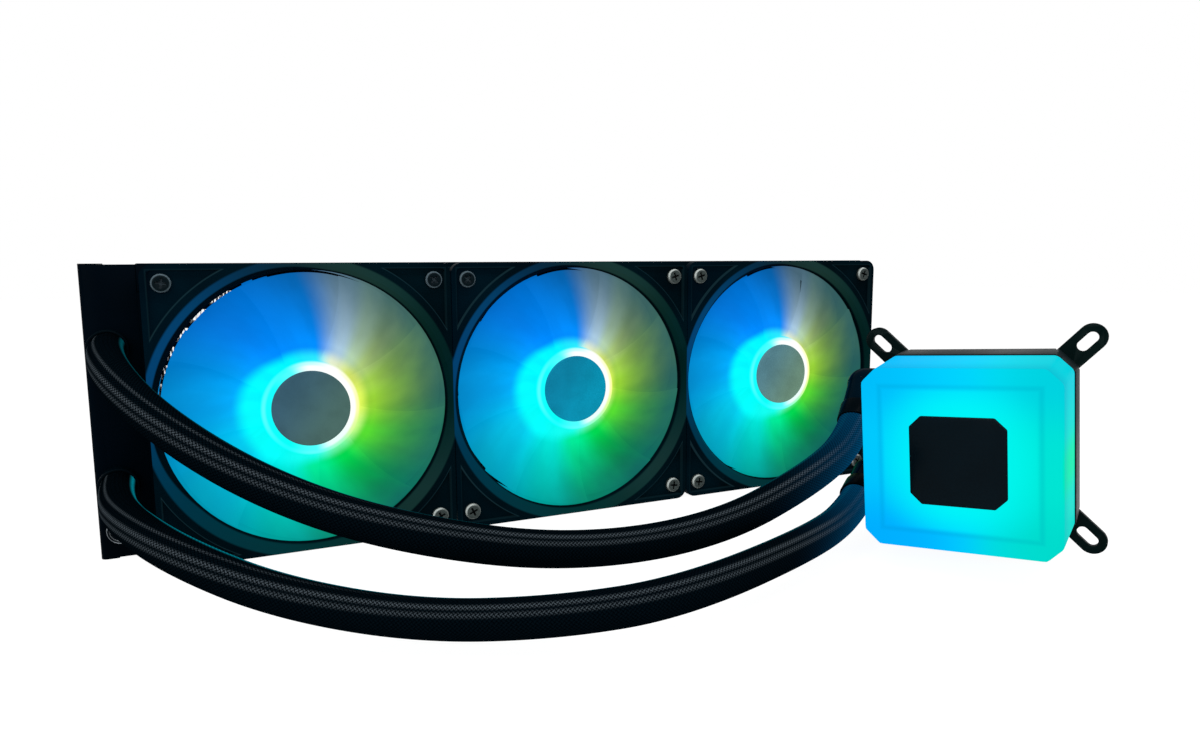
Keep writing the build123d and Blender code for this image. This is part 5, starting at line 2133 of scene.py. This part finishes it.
@dataclass
class PumpHead:
    """The pump head: lit cap, plate, housing, bracket and elbows, and the inner solids."""

    origin: Point = (0.1332, -0.1553, 0.0481)
    turn: float = math.radians(-58.2)
    lean: float = math.radians(1.5)
    roll: float = math.radians(3.4)
    housing_half: float = 0.0358
    housing_cut: float = 0.0066
    housing_low: float = 0.0026
    housing_top: float = 0.0214
    housing_wall: float = 0.0025
    housing_edge: float = 0.0005
    cap_half: float = 0.0353
    cap_cut: float = 0.0056
    cap_depth: float = 0.0326
    cap_draft: float = math.radians(1.4)
    cap_edge: float = 0.001
    cap_corner: float = 0.0012
    cap_wall: float = 0.0022
    cap_front: float = 0.0024
    plate_half: float = 0.0168
    plate_cut: float = 0.0041
    plate_thickness: float = 0.0012
    plate_edge: float = 0.0004
    bracket_low: float = 0.0032
    bracket_thickness: float = 0.002
    bracket_half: float = 0.033
    bracket_cut: float = 0.0056
    bracket_edge: float = 0.0003
    bracket_opening: float = 0.057
    opening_corner: float = 0.008
    ear_width: float = 0.0105
    slot_place: float = 0.0386
    slot_travel: float = 0.0048
    slot_width: float = 0.0042
    elbow_level: float = 0.012
    elbow_radius: float = 0.0074
    elbow_edge: float = 0.0004
    outlet_radius: float = 0.007
    flange: tuple[float, float] = (0.0084, 0.0016)
    notch_gap: float = 0.0003
    outlet_extra: float = 0.001
    outlet_edge: float = 0.0006

    def place(self) -> Matrix:
        """Gives the pump head's own space: cold face at zero, looking out of its lit front."""
        turns = (Matrix.Rotation(self.turn, 4, "Y") @ Matrix.Rotation(self.lean, 4, "X")
                 @ Matrix.Rotation(self.roll, 4, "Z"))
        return facing(*self.origin) @ turns

    def build(self, finishes: Finishes) -> None:
        """Builds the pump head in its own space and puts it at the hoses' ends.

        Args:
            finishes: The cooler's materials.
        """
        place = self.place()
        euler = place.to_euler("XYZ")
        lit = LitCap("lit_cap", self.origin, (euler.x, euler.y, euler.z)).make()
        shell = self.housing()
        plate = self.octagon("front_plate", self.plate_half, self.plate_cut,
                             self.housing_top + self.cap_depth, self.plate_thickness)
        soften(plate, self.plate_edge, 3)
        bracket = self.bracket()
        cap = self.cap()
        for piece in (shell, plate, bracket, cap):
            settle(piece, place)
        dress(shell, ROOT, [finishes.housing], ["housing"])
        dress(cap, ROOT, [lit], ["light_cap"])
        dress(plate, ROOT, [finishes.plate], ["centre_plate"])
        dress(bracket, ROOT, [finishes.bracket], ["bracket"])
        for name, route in (("upper", UPPER_ROUTE), ("lower", LOWER_ROUTE)):
            elbow = self.elbow(f"{name}_elbow", route)
            dress(elbow, ROOT, [finishes.gloss], [f"elbow_{name}"])
        inner = {"cold_plate": finishes.copper, "cold_plate_screws": finishes.ground_steel,
                 "gasket": finishes.rubber, "pump_base": finishes.housing,
                 "chamber_cover": finishes.pump_plastic, "impeller": finishes.pump_plastic,
                 "impeller_magnet": finishes.magnet, "impeller_pin": finishes.ground_steel,
                 "pump_stator": finishes.coils, "pump_board": finishes.board,
                 "bracket_screws": finishes.screw_plate, "light_box": finishes.milky}
        for node, material in inner.items():
            dress_node(node, material)

    @staticmethod
    def octagon(name: str, half: float, cut_off: float, low: float, thickness: float) -> Piece:
        """Models a square slab with its four corners cut off.

        Args:
            name: The piece's name.
            half: Half of its side.
            cut_off: How much of each side a corner takes.
            low: Where it starts.
            thickness: How thick it is.

        Returns:
            The slab in the pump head's own space.
        """
        slab = block(name, (2 * half, 2 * half, thickness), (0, 0, low + thickness / 2))
        bevel_uprights(slab, cut_off, 1)
        return slab

    def housing(self) -> Piece:
        """Models the housing: an eight-sided wall with notches for the bracket's ears.

        Returns:
            The housing in the pump head's own space.
        """
        tall = self.housing_top - self.housing_low
        shell = self.octagon("pump_housing", self.housing_half, self.housing_cut, self.housing_low, tall)
        with editing(shell):
            pick_faces(shell, lambda middle, normal: abs(normal.z) > FLAT)
            bpy.ops.mesh.inset(thickness=self.housing_wall)
            bpy.ops.mesh.bridge_edge_loops()
        rise = self.bracket_low + self.bracket_thickness + self.notch_gap - self.housing_low
        for number in range(4):
            notch = block("notch", (self.housing_half, self.ear_width + 2 * self.notch_gap, 2 * rise),
                          (self.housing_half * 1.3, 0, self.housing_low))
            cut(shell, settle(notch, Matrix.Rotation(math.radians(45 + 90 * number), 4, "Z")))
        soften(shell, self.housing_edge, 3)
        return shell

    def cap(self) -> Piece:
        """Models the light cap: an eight-sided cup that narrows a little to its front.

        Returns:
            The cap in the pump head's own space.
        """
        cap = self.octagon("lit_cap", self.cap_half, self.cap_cut, self.housing_top, self.cap_depth)
        front = self.housing_top + self.cap_depth
        share = 1 - self.cap_depth * math.tan(self.cap_draft) / self.cap_half
        with editing(cap):
            pick_vertices(cap, lambda place: place.z > front - NEAR)
            bpy.ops.transform.resize(value=(share, share, 1), center_override=(0, 0, front))
            pick_faces(cap, lambda middle, normal: normal.z < -FLAT)
            bpy.ops.mesh.inset(thickness=self.cap_wall)
            extrude(self.cap_depth - self.cap_front)
            bevel_edges(cap, lambda middle, way: middle.z > front - NEAR, self.cap_edge, 4)
            bevel_edges(cap, lambda middle, way: abs(way.z) > ALONG and middle.xy.length > self.cap_half,
                        self.cap_corner, 4)
        smooth(cap, 25.0)
        return cap

    def bracket(self) -> Piece:
        """Models the mounting bracket: a ring with a slotted ear at each corner.

        Returns:
            The bracket in the pump head's own space.
        """
        low, high = self.bracket_low, self.bracket_low + self.bracket_thickness
        plate = self.octagon("mounting_bracket", self.bracket_half, self.bracket_cut, low, high - low)
        reach = math.hypot(self.slot_place, self.slot_place)
        ear_end = reach + self.slot_travel / 2
        for number in range(4):
            turn = Matrix.Rotation(math.radians(45 + 90 * number), 4, "Z")
            ear = block("ear", (ear_end - self.bracket_half, self.ear_width, high - low),
                        ((ear_end + self.bracket_half) / 2, 0, (low + high) / 2))
            cut(ear, drum("end", self.ear_width / 2, low, high, (ear_end, 0), 32), "UNION")
            cut(plate, settle(ear, turn), "UNION")
            slot = block("slot", (self.slot_travel, self.slot_width, 0.01), (reach, 0, low))
            for end in (reach - self.slot_travel / 2, reach + self.slot_travel / 2):
                cut(slot, drum("end", self.slot_width / 2, low - 0.005, low + 0.005, (end, 0), 24), "UNION")
            cut(plate, settle(slot, turn))
        opening = block("opening", (self.bracket_opening, self.bracket_opening, 0.01), (0, 0, low))
        bevel_uprights(opening, self.opening_corner, 8)
        cut(plate, opening)
        soften(plate, self.bracket_edge, 3)
        return plate

    def elbow(self, name: str, route: Sequence[Point]) -> Piece:
        """Models an elbow: a flange and a barrel on the housing, a knuckle, and the outlet.

        Args:
            name: The piece's name.
            route: The points of the hose that ends on it.

        Returns:
            The elbow in its place.
        """
        place = self.place()
        end, before = Vector(route[-1]), Vector(route[-2])
        way = (end - before).normalized()
        front = place.to_3x3() @ Vector((0.0, 0.0, 1.0))
        level = (place.inverted() @ end).z
        centre = end - way * ((level - self.elbow_level) / way.dot(front))
        middle = place.inverted() @ centre
        inward = place @ Matrix.Translation(middle) @ Matrix.Rotation(math.radians(90), 4, "Y")
        away = -self.housing_half - middle.x
        outward = end - centre
        outlet_place = Matrix.Translation(centre) @ outward.to_track_quat("Z", "Y").to_matrix().to_4x4()
        barrel = drum(name, self.elbow_radius, 0, away, sides=48)
        radius, thickness = self.flange
        cut(barrel, drum("flange", radius, away - thickness, away, sides=48), "UNION")
        soften(barrel, self.elbow_edge, 3)
        settle(barrel, inward)
        tip = outward.length + self.outlet_extra
        outlet = drum("outlet", self.outlet_radius, 0, tip, sides=48)
        with editing(outlet):
            bevel_edges(outlet, lambda middle, way: middle.z > tip - NEAR, self.outlet_edge, 3)
        settle(outlet, outlet_place)
        deselect_all()
        bpy.ops.mesh.primitive_uv_sphere_add(segments=48, ring_count=24, radius=self.elbow_radius)
        knuckle = bpy.context.object
        knuckle.name = "knuckle"
        cut(barrel, settle(knuckle, inward), "UNION")
        cut(barrel, outlet, "UNION")
        smooth(barrel, 40.0)
        return barrel


def main() -> None:
    """Builds the camera, the hoses, the rest of the cooler and the studio, in that order."""
    logging.basicConfig(level=logging.INFO, format="%(name)s: %(message)s")
    PhotoCamera().build()
    finishes = Finishes()
    HoseSet().build(finishes)
    Radiator().build(finishes)
    for number, look in enumerate(FAN_LOOKS, 1):
        Fan(number, look).build(finishes)
    PumpHead().build(finishes)
    Studio().build()


if __name__ == "__main__":
    main()
